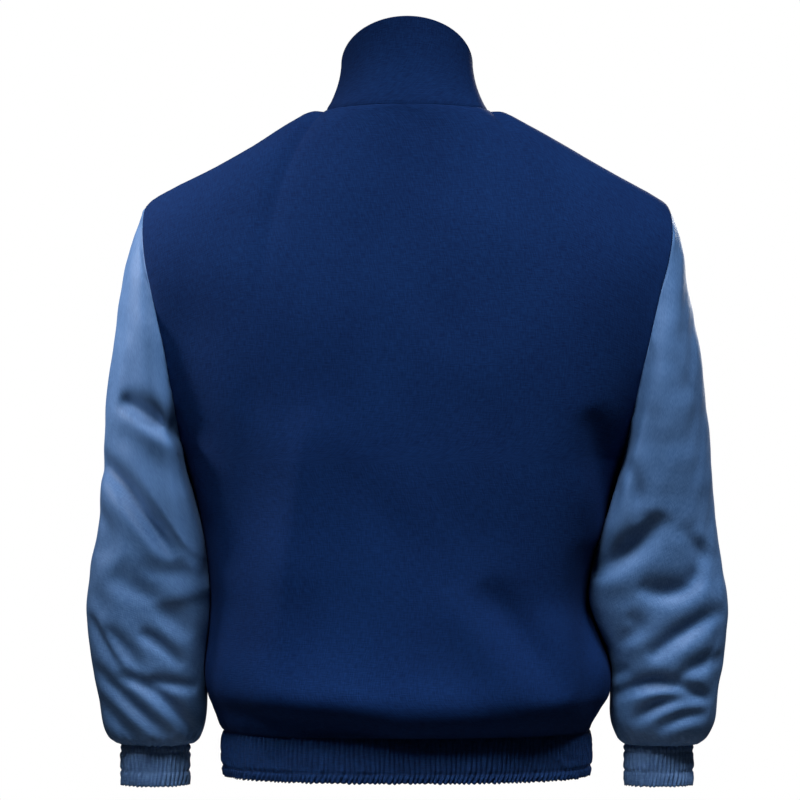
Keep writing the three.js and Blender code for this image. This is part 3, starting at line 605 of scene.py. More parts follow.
def crease_field(grid, normal, side, closed, rows):
    """How far and which way the creases press each point in. Each runs through three places, x
    out from the centre line and z up, on its own face. A negative depth is a ridge."""
    place = np.stack([side * grid[..., 0], grid[..., 2]], axis=-1)
    total = np.zeros(grid.shape)
    t = np.linspace(0, 1, CREASE_POINTS)[:, None]
    for face, x0, z0, x1, z1, x2, z2, width, depth in zip(*rows.values()):
        start, middle, end = np.array([x0, z0]), np.array([x1, z1]), np.array([x2, z2])
        control = 2 * middle - (start + end) / 2
        line = (1 - t) ** 2 * start + 2 * t * (1 - t) * control + t**2 * end
        reach = CREASE_REACH * width
        near = (place > line.min(0) - reach).all(-1) & (place < line.max(0) + reach).all(-1)
        near &= face * normal[..., 1] > TURNED_AWAY
        gaps = place[near][:, None] - line
        nearest = np.linalg.norm(gaps, axis=-1).argmin(axis=1)
        gap = gaps[np.arange(len(nearest)), nearest]
        way = np.gradient(line, axis=0)
        step = np.linalg.norm(way, axis=1)
        way = way / step[:, None]
        past = np.clip((gap * way[nearest]).sum(axis=1), -step[nearest], step[nearest])
        gap = gap - way[nearest] * past[:, None]
        away = np.linalg.norm(gap, axis=1)
        # 1 straight above a level crease, -1 below it, and 0 on both sides of an upright one
        above = np.sign(gap[:, 1]) * np.abs(way[nearest, 0]) * smoothstep(0, SIDES_MEET, away)
        along = np.clip(t[nearest, 0] + past / step[nearest] * t[1, 0], 0, 1)
        taper = (4 * along * (1 - along)) ** TAPER
        spread = width * (1 + HANG * above) * lerp(NARROWED, 1, taper)
        facing = smoothstep(TURNED_AWAY, FULLY_SEEN, face * normal[near][:, 1])
        pressed_in = depth * taper * facing * trough(away / spread)
        total[near] -= pressed_in[:, None] * (normal[near] + (0, face, 0)) / 2
    return softened(total, closed)


# %% [markdown]
# ## Where the creases lie
#
# The left arm hangs with cloth slung over the elbow and long slanting folds below it. The right
# sleeve has a pouch beside the body and arched folds over the cuff. The body has a few broad,
# shallow ones. Depths and widths are uneven, because two alike would look made by machine.

# %% Creases
def creases(behind=(), in_front=()):
    """A table of creases, from those seen from behind and those seen from the front."""
    rows = [(BACK, *row) for row in behind] + [(FRONT, *row) for row in in_front]
    return table("face x0 z0 x1 z1 x2 z2 width depth", *rows)


SLEEVE_CREASES = {
    LEFT: creases(behind=[
        # the cloth that hangs over the elbow, and the long fold below it
        (283, -289, 255, -306, 212, -332, 13, 15),
        (284, -322, 256, -340, 216, -378, 22, 5),
        (230, -330, 221, -385, 209, -452, 9, 5),
        (264, -108, 258, -146, 250, -184, 5, 6),
        (272, -225, 285, -280, 298, -330, 9, -2.6),
        (320, -342, 280, -378, 231, -444, 12, 17),
        (264, -363, 234, -411, 201, -449, 5.8, -1.8),
        (312, -398, 296, -422, 306, -448, 11, 7),
        (277, -434, 288, -454, 307, -471, 9.2, -2.2),
        (265, -453, 241, -460, 213, -458, 13.8, 3.2),
        (301, -462, 270, -476, 241, -489, 13.8, 3.8),
        (252, -491, 220, -482, 186, -472, 12.6, -2.9),
        (315, -478, 306, -491, 302, -506, 10.3, 3.8),
        # short folds over the forearm
        (315, -498, 296, -528, 278, -558, 5.2, -2.9),
        (316, -503, 302, -530, 282, -558, 8, 6.1),
        (299, -517, 282, -533, 261, -559, 8.6, 6.1),
        (266, -521, 245, -532, 223, -555, 8.6, 6.1),
        (248, -492, 232, -508, 216, -526, 13.8, 3.8),
        (255, -566, 234, -572, 209, -577, 8, 6.1),
        # slanting folds where the cloth gathers on the cuff
        (313, -554, 273, -593, 233, -625, 8.6, 8.3),
        (289, -564, 246, -583, 205, -634, 8.6, 8.3),
        (307, -585, 289, -609, 263, -629, 10.3, 6.1),
    ], in_front=[
        (304, -358, 268, -394, 230, -424, 17.2, 8.2),
        (292, -309, 258, -328, 226, -336, 12.6, 6.3),
        (318, -467, 290, -480, 258, -501, 11.5, 4.3),
        (322, -513, 280, -534, 236, -563, 10.3, 5.7),
        (312, -557, 272, -578, 228, -605, 9.2, 5.7),
        (296, -594, 268, -606, 236, -623, 8, 4.3),
    ]),
    RIGHT: creases(behind=[
        # the pouch of cloth beside the body, and the deep fold under it
        (258, -234, 273, -257, 290, -285, 5.8, -1.8),
        (228, -240, 236, -320, 236, -395, 18, 4),
        (215, -350, 225, -378, 227, -410, 9.2, 5.1),
        (165, -459, 214, -444, 253, -403, 17.2, 10.6),
        (266, -416, 290, -444, 278, -470, 12.1, 5.7),
        (294, -460, 265, -481, 227, -473, 12.6, 7.6),
        (282, -419, 295, -430, 308, -444, 8, -2.2),
        # short folds over the forearm
        (216, -502, 227, -517, 208, -531, 10.3, 4.6),
        (315, -499, 279, -518, 239, -546, 12.1, 9),
        (314, -544, 290, -554, 267, -564, 9.2, 6.1),
        (309, -535, 304, -547, 296, -560, 4.6, -1.8),
        (201, -569, 210, -563, 222, -557, 8, 3.8),
        # arched folds where the cloth gathers on the cuff
        (194, -594, 249, -571, 302, -591, 9.2, 9),
        (225, -612, 253, -592, 299, -587, 8, 7.6),
        (247, -618, 273, -605, 299, -603, 8, 6.1),
    ], in_front=[
        (308, -346, 266, -378, 224, -406, 17.2, 8.2),
        (288, -297, 256, -316, 220, -326, 12.6, 6.3),
        (314, -427, 282, -446, 246, -454, 11.5, 4.3),
        (322, -495, 284, -520, 240, -553, 10.3, 5.7),
        (310, -545, 272, -570, 228, -597, 9.2, 5.7),
        (300, -586, 266, -600, 234, -621, 8, 4.3),
    ]),
}
BACK_CREASES = creases(behind=[
    (92, -300, 118, -460, 142, -600, 26, -8),
    (148, -270, 164, -420, 178, -550, 24, 2.5),
    (195, -400, 193, -510, 195, -590, 9, 4),
    (10, -612, 110, -606, 212, -594, 15, 12),
    (-176, -300, -190, -350, -198, -412, 20, 9),
    (-180, -430, -180, -520, -186, -604, 22, 10),
    (-70, -470, -112, -520, -150, -580, 22, 9),
    (-40, -470, -80, -540, -130, -600, 30, -4.5),
])
FRONT_CREASES = {
    LEFT: creases(in_front=[
        (172, -270, 190, -330, 198, -395, 24, 4.8),
        (90, -430, 130, -500, 160, -565, 34, -3.6),
    ]),
    RIGHT: creases(in_front=[
        (170, -280, 184, -340, 192, -390, 22, 4),
        (110, -400, 140, -480, 165, -560, 34, -4),
    ]),
}
crease_tables = [*SLEEVE_CREASES.values(), BACK_CREASES, *FRONT_CREASES.values()]
print("creases by hand:", sum(len(rows["face"]) for rows in crease_tables))

# %% [markdown]
# ## Shaping each piece
#
# Near the cuff a sleeve is fuller than the seam it is sewn to, so its last few centimetres are
# drawn into soft pleats that die out upwards. The body does the same at the hem band. Slow
# ripples all over keep any stretch of cloth from being perfectly smooth.

# %% Shape the pieces
# height and length of the slow ripples in each kind of piece, longest first
SLEEVE_RIPPLES = ((0.7, 75), (0.35, 30))
PANEL_RIPPLES = ((0.8, 130), (0.25, 45))
COLLAR_RIPPLE = (0.5, 60)
# pleats along the lower seam: how many, how deep, and the height at which they have faded
SLEEVE_PLEATS = (30, 2.2, 16)
PANEL_PLEATS = (26, 1.4, 18)
PLEAT_SWAY = ((0.35, 60), (0.25, 25))  # how far pleats wander, in pleats, and over what length
PLEAT_PATCH = 35  # pleats of like depth stand in patches of this size
PLEAT_SEAM = 2  # a pleat starts from nothing over this height
PANEL_HELD, COLLAR_HELD = 6, 8  # how far from a seam the ripples of these are held down


def rippled(grid, sizes, seeds):
    return sum(height * ripples(grid, length, seed) for (height, length), seed in zip(sizes, seeds))


def drawn_in(grid, pleats, seed):
    """How far the pleats above the lower seam go in. They sway, and differ in depth."""
    count, depth, reach = pleats
    up = runs(grid, 0)
    around = np.linspace(0, 1, grid.shape[1], endpoint=False)[None, :]
    sway = rippled(grid, PLEAT_SWAY, (seed, seed + 1))
    pleat = 0.5 + 0.5 * np.cos(2 * np.pi * (around * count + sway))
    uneven = np.clip(0.65 + 0.5 * ripples(grid, PLEAT_PATCH, seed + 2), 0.1, 1.4)
    fade = np.exp(-((up / reach) ** 1.5)) * let_go(up, PLEAT_SEAM)
    return depth * uneven * fade * pleat


def shaped_sleeve(side):
    grid = sleeve_grids[side]
    normal = softened(normals(grid, True), True)
    seed = 20 + side
    lift = seam_rise(grid, True, seed) + rippled(grid, SLEEVE_RIPPLES, (seed + 10, seed + 20))
    lift = lift - drawn_in(grid, SLEEVE_PLEATS, seed + 30)
    creased = crease_field(grid, normal, side, True, SLEEVE_CREASES[side])
    free = let_go(edge_distance(grid, True), SEAM_REACH)
    return pressed(side, grid + (normal * lift[..., None] + creased) * free[..., None])


def shaped_panel(grid, side, rows, seed):
    normal = softened(normals(grid, False), False)
    free = let_go(edge_distance(grid, False), PANEL_HELD)
    folds = rippled(grid, PANEL_RIPPLES, (seed, seed + 1)) - drawn_in(grid, PANEL_PLEATS, seed + 2)
    lift = seam_rise(grid, False, seed + 3) + folds * free
    creased = crease_field(grid, normal, side, False, rows)
    return grid + normal * lift[..., None] + creased * free[..., None]


def shaped_collar(seed):
    normal = normals(collar_grid, False)
    free = let_go(edge_distance(collar_grid, False), COLLAR_HELD)
    ripple = rippled(collar_grid, (COLLAR_RIPPLE,), (seed + 1,))
    lift = seam_rise(collar_grid, False, seed, free=("top",)) + ripple * free
    return collar_grid + normal * lift[..., None]


shaped = {
    "back": shaped_panel(back_grid, LEFT, BACK_CREASES, seed=40),
    "front_left": shaped_panel(front_grids[LEFT], LEFT, FRONT_CREASES[LEFT], seed=50),
    "front_right": shaped_panel(front_grids[RIGHT], RIGHT, FRONT_CREASES[RIGHT], seed=60),
    "sleeve_left": shaped_sleeve(LEFT),
    "sleeve_right": shaped_sleeve(RIGHT),
    "collar": shaped_collar(seed=70),
}
print("shaped:", ", ".join(shaped))

# %% [markdown]
# ## Colours and a node helper
#
# Every colour is written as the hex value that a screen would show and turned to linear light
# by one function. One helper adds any node, sets it and links it, so that a material reads as
# a short list of steps.

# %% Colour and node helpers
def linear(hex_colour):
    """An sRGB hex value as linear light with full alpha."""
    channels = [int(hex_colour[i:i + 2], 16) / 255 for i in (1, 3, 5)]
    return (*(c / 12.92 if c <= 0.04045 else ((c + 0.055) / 1.055) ** 2.4 for c in channels), 1)


def enabled(sockets, key):
    """The live socket with this name or number."""
    if isinstance(key, int):
        return sockets[key]
    return next(s for s in sockets if key in (s.name, s.identifier) and s.enabled)


def fill(tree, node, inputs):
    """Sets or links a node's inputs, in order or by name. A node given as a value stands for
    its first live output."""
    for key, value in inputs.items() if isinstance(inputs, dict) else enumerate(inputs):
        if isinstance(value, bpy.types.Node):
            value = next(s for s in value.outputs if s.enabled)
        if isinstance(value, bpy.types.NodeSocket):
            tree.links.new(value, enabled(node.inputs, key))
        else:
            enabled(node.inputs, key).default_value = value


def add(tree, kind, inputs=(), **settings):
    """Adds a node, sets it, and fills its inputs."""
    node = tree.nodes.new(kind)
    for name, value in settings.items():
        setattr(node, name, value)
    fill(tree, node, inputs)
    return node


def new_finish(name):
    """A new material, with its tree and its shader."""
    material = bpy.data.materials.new(name)
    material.use_nodes = True
    return material, material.node_tree, material.node_tree.nodes["Principled BSDF"]


print("mid grey as light:", round(linear("#808080")[0], 3))

# %% [markdown]
# ## Woven cloth
#
# The body is a closely woven, slightly brushed cloth in deep navy, and the sleeves are the same
# weave in a greyed blue, where lighter and darker yarns show more. Seen close, such cloth is
# not one colour: warp and weft yarns vary in thickness and in dye, so short streaks cross each
# other. An image of a weave could be wrapped on, but two stretched noises that cross at a
# right angle give the same crossing streaks at any scale and never repeat. Each piece carries
# a map of its own flat cut, in metres, so the streaks follow the grain of the cloth.

# %% Woven cloth material
YARN = 0.0012  # real yarns are about 0.4 mm; drawn coarser so that they can be seen
SLUB = 0.008  # the length over which a yarn keeps its thickness
YARN_RELIEF = 0.0006  # metres, as coarse as the yarns are drawn
CLOUDS, CLOUDED = 14.0, 0.12  # cloudy patches to the metre, and how far they shift the shade
SHEEN = {"Sheen Weight": 0.03, "Sheen Roughness": 0.5}  # the short nap that brushing raises


def woven(name, dark, light, sheen_tint, roughness, contrast, bump, gloss):
    """Contrast is between the yarns. More of it is softer here, because it widens the range."""
    material, tree, shader = new_finish(name)
    cut = add(tree, "ShaderNodeUVMap", uv_map="cut")
    yarns = []
    for across, along in ((YARN, SLUB), (SLUB, YARN)):
        scale = (1 / across, 1 / along, 1)
        stretched = add(tree, "ShaderNodeMapping", {"Vector": cut, "Scale": scale})
        yarns.append(add(tree, "ShaderNodeTexNoise", {"Vector": stretched, "Scale": 1.0, "Detail": 1.0}))
    crossed = add(tree, "ShaderNodeMath", yarns, operation="ADD")
    fleck = add(tree, "ShaderNodeMapRange", {
        "Value": crossed, "From Min": 1 - contrast, "From Max": 1 + contrast,
    })
    # Dye takes unevenly over a hand's breadth, and brushing leaves faint cloudy patches.
    place = add(tree, "ShaderNodeTexCoord").outputs["Object"]
    cloud = add(tree, "ShaderNodeTexNoise", {"Vector": place, "Scale": CLOUDS, "Detail": 3.0})
    clouded = add(tree, "ShaderNodeMapRange", {
        "Value": cloud, "From Min": 0.3, "From Max": 0.7, "To Min": -CLOUDED, "To Max": CLOUDED,
    })
    share = add(tree, "ShaderNodeMath", [fleck, clouded], operation="ADD", use_clamp=True)
    tones = {"Factor": share, "A": linear(dark), "B": linear(light)}
    colour = add(tree, "ShaderNodeMix", tones, data_type="RGBA")
    relief = add(tree, "ShaderNodeBump", {"Height": crossed, "Strength": bump, "Distance": YARN_RELIEF})
    fill(tree, shader, SHEEN | {
        "Base Color": colour, "Normal": relief, "Roughness": roughness,
        "Specular IOR Level": gloss, "Sheen Tint": linear(sheen_tint),
    })
    return material


# darker and lighter yarn, sheen, roughness, contrast, bump, gloss
NAVY = woven("navy woven cloth", "#031840", "#092755", "#2a4f9c", 0.9, 0.38, 0.3, 0.085)
BLUE = woven("greyed blue woven cloth", "#355a8a", "#5479ab", "#9fb9e0", 0.6, 0.45, 0.3, 0.3)
# the hem band is the body's navy cloth, painted lighter to make up for the shade that the cloth bloused
# over it casts on it
HEM_CLOTH_PAINTED_LIGHTER = woven("navy hem cloth painted lighter for its shade", "#0b2149", "#123465", "#2a4f9c", 0.9, 0.32, 0.25, 0.15)
CUFF_CLOTH = woven("gathered blue cuff cloth", "#375685", "#5779a6", "#9fb9e0", 0.6, 0.36, 0.25, 0.35)
print("cloths:", NAVY.name, "|", BLUE.name)

# %% [markdown]
# ## From grids to pieces
#
# A grid of points becomes a sheet of square faces. A Solidify modifier gives the sheet its
# thickness inwards, so the outer face stays exactly where it was shaped. The size of every
# sheet's flat cut is printed. It is measured on the smooth surface before any crease was pressed
# in, because a crease takes its cloth from the fullness around it.

# %% Mesh helpers
def wrapped(grid, closed):
    """The grid with its first column again at the end, where its columns close on themselves."""
    return np.concatenate([grid, grid[:, :1]], axis=1) if closed else grid


def corners(values):
    """The values at the four corners of each square of a grid, anticlockwise from outside."""
    return np.stack([values[:-1, :-1], values[:-1, 1:], values[1:, 1:], values[1:, :-1]], axis=2)


def sheet_object(name, grid, closed, material):
    """A piece of cloth from its outer surface, as yet without thickness."""
    rows, columns = grid.shape[:2]
    wide = wrapped(grid, closed)
    faces = corners(wrapped(np.arange(rows * columns).reshape(rows, columns), closed))
    mesh = bpy.data.meshes.new(name)
    mesh.from_pydata((grid * MM).reshape(-1, 3).tolist(), [], faces.reshape(-1, 4).tolist())
    along = runs(wide, 1) * MM
    up = np.broadcast_to(runs(wide, 0)[:, wide.shape[1] // 2, None] * MM, along.shape)
    cut = corners(np.stack([along, up], axis=-1)).astype(np.float32)
    mesh.uv_layers.new(name="cut").uv.foreach_set("vector", cut.ravel())
    mesh.polygons.foreach_set("use_smooth", np.ones(len(mesh.polygons), bool))
    mesh.materials.append(material)
    return put_in_scene(name, mesh)


def give_thickness(piece, thickness):
    """Adds a wall inwards from the outer surface."""
    wall = piece.modifiers.new("cloth thickness", "SOLIDIFY")
    wall.thickness = thickness * MM
    wall.offset = -1


def round_edges(piece, name, width, segments, sharper_than):
    """Bevels every edge that turns by more than this angle, in degrees."""
    rounded = piece.modifiers.new(name, "BEVEL")
    rounded.width = width * MM
    rounded.segments = segments
    rounded.limit_method = "ANGLE"
    rounded.angle_limit = math.radians(sharper_than)


def flat_cut(grid, closed, ease=1.0):
    """Width, length and area, in metres, of the cut that makes this smooth surface. Ease is how
    many times wider the cloth was before gathers drew it in."""
    wide = wrapped(grid, closed)
    width = runs(wide, 1)[:, -1].max() * ease
    length = runs(wide, 0)[-1].max()
    rising = wide[1:, 1:] - wide[:-1, :-1]
    falling = wide[1:, :-1] - wide[:-1, 1:]
    area = np.linalg.norm(np.cross(rising, falling), axis=-1).sum() / 2 * ease
    return {"flat": (width * MM, length * MM), "area": min(area, width * length) * MM * MM}


def hand_over(piece, node, cut):
    """Attaches a finished sheet to what it moves with, hides the frame's part that it stands in for, and
    prints how it was cut.
    """
    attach(piece, "jacket")
    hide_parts(node)
    print(f"{piece.name}: cut {cut['flat'][0]:.3f} x {cut['flat'][1]:.3f} m, {cut['area']:.4f} m2")


# %% [markdown]
# ## The large pieces
#
# The back, the fronts and the sleeves are one layer of cloth, hollow and open at every end. The
# collar is folded double, so it is thicker and its rim is a rolled edge rather than a cut one.

# %% Body, sleeves and collar
COLLAR_WALL = 2.2  # two layers of the cloth
RIM_ROUND = {"width": 0.9, "segments": 3, "sharper_than": 50}
smooth_grids = {
    "back": back_grid, "front_left": front_grids[LEFT], "front_right": front_grids[RIGHT],
    "sleeve_left": sleeve_grids[LEFT], "sleeve_right": sleeve_grids[RIGHT], "collar": collar_grid,
}
for node, grid in shaped.items():
    tube = node.startswith("sleeve")
    material, slot = (BLUE, "blue_cloth") if tube else (NAVY, "navy_cloth")
    piece = sheet_object(node + "_cloth", grid, tube, material)
    give_thickness(piece, COLLAR_WALL if node == "collar" else CLOTH)
    if node == "collar":
        round_edges(piece, "rolled rim", **RIM_ROUND)
    hand_over(piece, node, flat_cut(smooth_grids[node], tube))

# %% [markdown]
# ## Gathered bands
#
# The hem band and the cuffs are cloth sewn over elastic. The elastic is shorter, so the cloth
# between its rows of stitches stands up in close gathers, uneven in height and never quite
# upright, and it is pinched flat where a row of stitches holds it down. Geometry Nodes suit
# this: the smooth band goes in, with the number of its gather and its height marked on each
# point, and one rule moves every point outwards.

# %% Gather rule
def new_rule(name, *sizes):
    """A Geometry Nodes tree with a geometry input, one named number input for each size given,
    a material input and a geometry output."""
    tree = bpy.data.node_groups.new(name, "GeometryNodeTree")
    kinds = {"Geometry": "Geometry"} | dict.fromkeys(sizes, "Float") | {"Material": "Material"}
    for socket, kind in kinds.items():
        tree.interface.new_socket(socket, in_out="INPUT", socket_type="NodeSocket" + kind)
    tree.interface.new_socket("Geometry", in_out="OUTPUT", socket_type="NodeSocketGeometry")
    return tree, tree.nodes.new("NodeGroupInput").outputs


def finish_rule(tree, geometry, material):
    """Realizes any instances, sets the material and ends the tree."""
    real = add(tree, "GeometryNodeRealizeInstances", [geometry])
    finished = add(tree, "GeometryNodeSetMaterial", {"Geometry": real, "Material": material})
    add(tree, "NodeGroupOutput", [finished])


def run_rule(piece, tree, material, sizes, **numbers):
    """Runs a tree on a piece and leaves the result as a plain mesh. Sizes are in mm."""
    inputs = {"Material": material} | {name: size * MM for name, size in sizes.items()} | numbers
    modifier = piece.modifiers.new(tree.name, "NODES")
    modifier.node_group = tree
    for item in tree.interface.items_tree:
        if item.in_out == "INPUT" and item.name in inputs:
            modifier[item.identifier] = inputs[item.name]
    evaluated = piece.evaluated_get(bpy.context.evaluated_depsgraph_get())
    plain = bpy.data.meshes.new_from_object(evaluated)
    piece.modifiers.remove(modifier)
    piece.data = plain
    plain.name = piece.name


# how often gathers sway and crowd together, to the metre, and by how many half gathers
SWAYS, SWAY = 90.0, 0.9
CROWDS, CROWD = 26.0, 2.2
# patches of like height, to the metre, and the least and the most of the full height
PATCHES, SHORTEST, TALLEST = 110.0, 0.6, 1.2
# metres pinched on each side of a row of stitches, and the share of the height left on it
PINCHED, PINCHED_TO = 0.0028, 0.2
# metres of the lower edge that are turned up, and how far a gather ends below it, of its height
TURNED_UP, TURNED_DOWN = 0.003, 0.45


def gather_rule():
    tree, given = new_rule("gathers", "Depth", "Lean", "Row A", "Row B", "Top")
    marked = {"data_type": "FLOAT"}
    turn = add(tree, "GeometryNodeInputNamedAttribute", ["gather"], **marked)
    height = add(tree, "GeometryNodeInputNamedAttribute", ["height"], **marked)
    place = add(tree, "GeometryNodeInputPosition")
    # Most of the unevenness is from one gather to the next, little of it up each gather.
    level = add(tree, "ShaderNodeVectorMath", [place, (1, 1, 0.3)], operation="MULTIPLY")
    sway = add(tree, "ShaderNodeTexNoise", {"Vector": level, "Scale": SWAYS, "Detail": 1.0})
    crowd = add(tree, "ShaderNodeTexNoise", {"Vector": level, "Scale": CROWDS, "Detail": 0.0})
    # Below the lowest row of stitches the gathers lean over, each row resets them upright.
    lean = add(tree, "ShaderNodeMapRange", {
        "Value": height, "From Min": 0.0, "From Max": given["Row A"],
        "To Min": given["Lean"], "To Max": 0.0,
    })
    wobble = add(tree, "ShaderNodeMath", [sway, SWAY, lean], operation="MULTIPLY_ADD")
    bunch = add(tree, "ShaderNodeMath", [crowd, CROWD, wobble], operation="MULTIPLY_ADD")
    phase = add(tree, "ShaderNodeMath", [turn, bunch], operation="ADD")
    angle = add(tree, "ShaderNodeMath", [phase, math.pi], operation="MULTIPLY")
    # The height of a half wave without its sign: round tops, and valleys pulled in sharply.
    swing = add(tree, "ShaderNodeMath", [angle], operation="SINE")
    wave = add(tree, "ShaderNodeMath", [swing], operation="ABSOLUTE")
    patches = add(tree, "ShaderNodeTexNoise", {"Vector": place, "Scale": PATCHES, "Detail": 0.0})
    uneven = add(tree, "ShaderNodeMapRange", {
        "Value": patches, "From Min": 0.3, "From Max": 0.7, "To Min": SHORTEST, "To Max": TALLEST,
    })
    rise = add(tree, "ShaderNodeMath", [wave, uneven], operation="MULTIPLY")
    for row in ("Row A", "Row B", "Top"):
        off = add(tree, "ShaderNodeMath", [height, given[row]], operation="SUBTRACT")
        far = add(tree, "ShaderNodeMath", [off], operation="ABSOLUTE")
        pinch = add(tree, "ShaderNodeMapRange", {
            "Value": far, "From Min": 0.0, "From Max": PINCHED, "To Min": PINCHED_TO, "To Max": 1.0,
        }, interpolation_type="SMOOTHSTEP")
        rise = add(tree, "ShaderNodeMath", [rise, pinch], operation="MULTIPLY")
    out = add(tree, "ShaderNodeMath", [rise, given["Depth"]], operation="MULTIPLY")
    facing = add(tree, "GeometryNodeInputNormal")
    move = add(tree, "ShaderNodeVectorMath", {"Vector": facing, "Scale": out}, operation="SCALE")
    # The lower edge is turned up over the gathers, so each one ends a little lower than the next.
    edge = add(tree, "ShaderNodeMapRange", {
        "Value": height, "From Min": 0.0, "From Max": TURNED_UP, "To Min": -TURNED_DOWN, "To Max": 0.0,
    })
    drop = add(tree, "ShaderNodeMath", [edge, out], operation="MULTIPLY")
    down = add(tree, "ShaderNodeCombineXYZ", {"Z": drop})
    offset = add(tree, "ShaderNodeVectorMath", [move, down], operation="ADD")
    moved = add(tree, "GeometryNodeSetPosition", {"Geometry": given["Geometry"], "Offset": offset})
    finish_rule(tree, moved, given["Material"])
    return tree


GATHERS = gather_rule()
print("gather rule:", len(GATHERS.nodes), "steps")

# %% [markdown]
# ## The bands
#
# The hem band has one row of stitches and taller gathers than the cuffs, which have two rows.
# Each band is marked, gathered by the rule, given its thickness and handed over. Its flat cut
# is longer than it looks, by the ease that the gathers take up.

# %% Hem band and cuffs
BAND_WALL = 1.0
GATHER_EASE = 1.35  # how many times longer the cloth is than the elastic
NO_ROW = 1000  # a height past any band
HEM_ROWS = (8.5,)  # heights of the rows of stitches above the lower edge
CUFF_ROWS = (14, 33)
HEM_GATHERS = {"Depth": 2.5, "Row A": HEM_ROWS[0], "Row B": NO_ROW}
CUFF_GATHERS = {"Depth": 2.0, "Row A": CUFF_ROWS[0], "Row B": CUFF_ROWS[1]}


def gathered_band(node, grid, gathers, closed, material, sizes, lean):
    """A band from its smooth surface. Lean is in half gathers, at the lower edge."""
    rows, columns = grid.shape[:2]
    piece = sheet_object(node + "_cloth", grid, closed, material)
    rise = grid[..., 2] - grid[0, 0, 2]
    turn = np.arange(columns) * gathers / (columns if closed else columns - 1)
    for name, values in (("gather", np.broadcast_to(turn, (rows, columns))), ("height", rise * MM)):
        marks = piece.data.attributes.new(name, "FLOAT", "POINT")
        marks.data.foreach_set("value", np.ascontiguousarray(values, np.float32).ravel())
    run_rule(piece, GATHERS, material, sizes | {"Top": rise[-1, 0] - SEAM_LAP}, Lean=lean)
    give_thickness(piece, BAND_WALL)
    hand_over(piece, node, flat_cut(grid, closed, GATHER_EASE))
    return piece


# the hem band's cloth is painted lighter than the body's, for the shade it hangs in
bands = {"hem_band": gathered_band(
    "hem_band", hem_grid, hem_gathers, False, HEM_CLOTH_PAINTED_LIGHTER, HEM_GATHERS, lean=0.9)}
for side, (grid, gathers) in cuff_grids.items():
    node = "cuff_" + named(side)
    bands[node] = gathered_band(
        node, grid, gathers, True, CUFF_CLOTH, CUFF_GATHERS, lean=0.6)

# %% [markdown]
# ## Stitches
#
# A row of stitches is one small thread shape, set down again and again along a line. The line
# is read from the finished cloth, so the stitches dip and rise with it.

# %% Stitch rule
def row_rule(name, bead_kind, bead_sizes, pivot):
    """Sets one small shape along a line, at an even pitch, with its Z axis along the line."""
    tree, given = new_rule(name, "Pitch", "Across", "Out", "Along")
    line = add(tree, "GeometryNodeMeshToCurve", [given["Geometry"]])
    pitched = {"Curve": line, "Length": given["Pitch"]}
    points = add(tree, "GeometryNodeCurveToPoints", pitched, mode="LENGTH").outputs
    size = add(tree, "ShaderNodeCombineXYZ", [given["Across"], given["Out"], given["Along"]])
    bead = add(tree, bead_kind, bead_sizes)
    way = {"Vector": points["Tangent"]}
    turned = add(tree, "FunctionNodeAlignRotationToVector", way, axis="Z", pivot_axis=pivot)
    placed = add(tree, "GeometryNodeInstanceOnPoints", {
        "Points": points["Points"], "Instance": bead.outputs["Mesh"],
        "Rotation": turned, "Scale": size,
    })
    real = add(tree, "GeometryNodeRealizeInstances", [placed])
    soft = add(tree, "GeometryNodeSetShadeSmooth", {"Geometry": real, "Shade Smooth": True})
    finish_rule(tree, soft, given["Material"])
    return tree


BEAD = {"Segments": 6, "Rings": 4, "Radius": 0.5}
STITCHES = row_rule("stitches", "GeometryNodeMeshUVSphere", BEAD, "AUTO")
STITCH = {"Pitch": 3.0, "Across": 0.6, "Out": 0.6, "Along": 0.72 * 3.0}


def guide(name, lines):
    """A mesh of plain edges along one or more lines of points, in mm."""
    mesh = bpy.data.meshes.new(name)
    points, edges = [], []
    for line in lines:
        start = len(points)
        points += (np.asarray(line) * MM).tolist()
        edges += [(i, i + 1) for i in range(start, len(points) - 1)]
    mesh.from_pydata(points, edges, [])
    return put_in_scene(name, mesh)


def speckled(name, dark, light, scale, detail=2.0):
    """A finish in two close shades, mixed by fine specks that stay put on the piece. Returns the
    material, its tree and shader, and the specks."""
    material, tree, shader = new_finish(name)
    place = add(tree, "ShaderNodeTexCoord").outputs["Object"]
    specks = add(tree, "ShaderNodeTexNoise", {"Vector": place, "Scale": scale, "Detail": detail})
    colour = add(tree, "ShaderNodeMix", {"Factor": specks, "A": dark, "B": light}, data_type="RGBA")
    fill(tree, shader, {"Base Color": colour})
    return material, tree, shader, specks


TWISTS = 900.0  # to the metre: the thread's plies cross the eye about every millimetre


def thread(name, hex_colour):
    """Spun polyester thread: smoother and a little glossier than the cloth round it."""
    light = linear(hex_colour)
    dark = (*(c * 0.6 for c in light[:3]), 1)
    material, tree, shader, _ = speckled(name, dark, light, TWISTS)
    fill(tree, shader, {"Roughness": 0.65, "Specular IOR Level": 0.2})
    return material


NAVY_THREAD = thread("navy polyester thread", "#122a56")
BLUE_THREAD = thread("blue polyester thread", "#4d6f9c")


def row_of(rule, name, lines, material, sizes):
    """The rule's small shape, set down along these lines."""
    piece = guide(name, lines)
    run_rule(piece, rule, material, sizes)
    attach(piece, "jacket")
    print(f"{name}: {len(piece.data.polygons)} faces")
    return piece


# %% [markdown]
# ## Rows of stitches
#
# Each band is stitched through its elastic, and both front edges are topstitched beside the
# zip, up to the rim. The thread lies a hair above the cloth that it is read from.

# %% Rows of stitches
BAND_PROUD, FRONT_PROUD = 0.1, 0.3  # how far a thread's middle lies off the surface
TOPSTITCH_IN = 4  # columns in from the front edge, about 7 mm


def band_line(piece, grid, height):
    """The line at this height on a finished band."""
    coordinates = np.zeros(grid.size, np.float32)
    piece.data.attributes["position"].data.foreach_get("vector", coordinates)
    points = coordinates.reshape(grid.shape) / MM
    row = np.abs(grid[:, 0, 2] - grid[0, 0, 2] - height).argmin()
    return points[row] + normals(points, False)[row] * BAND_PROUD


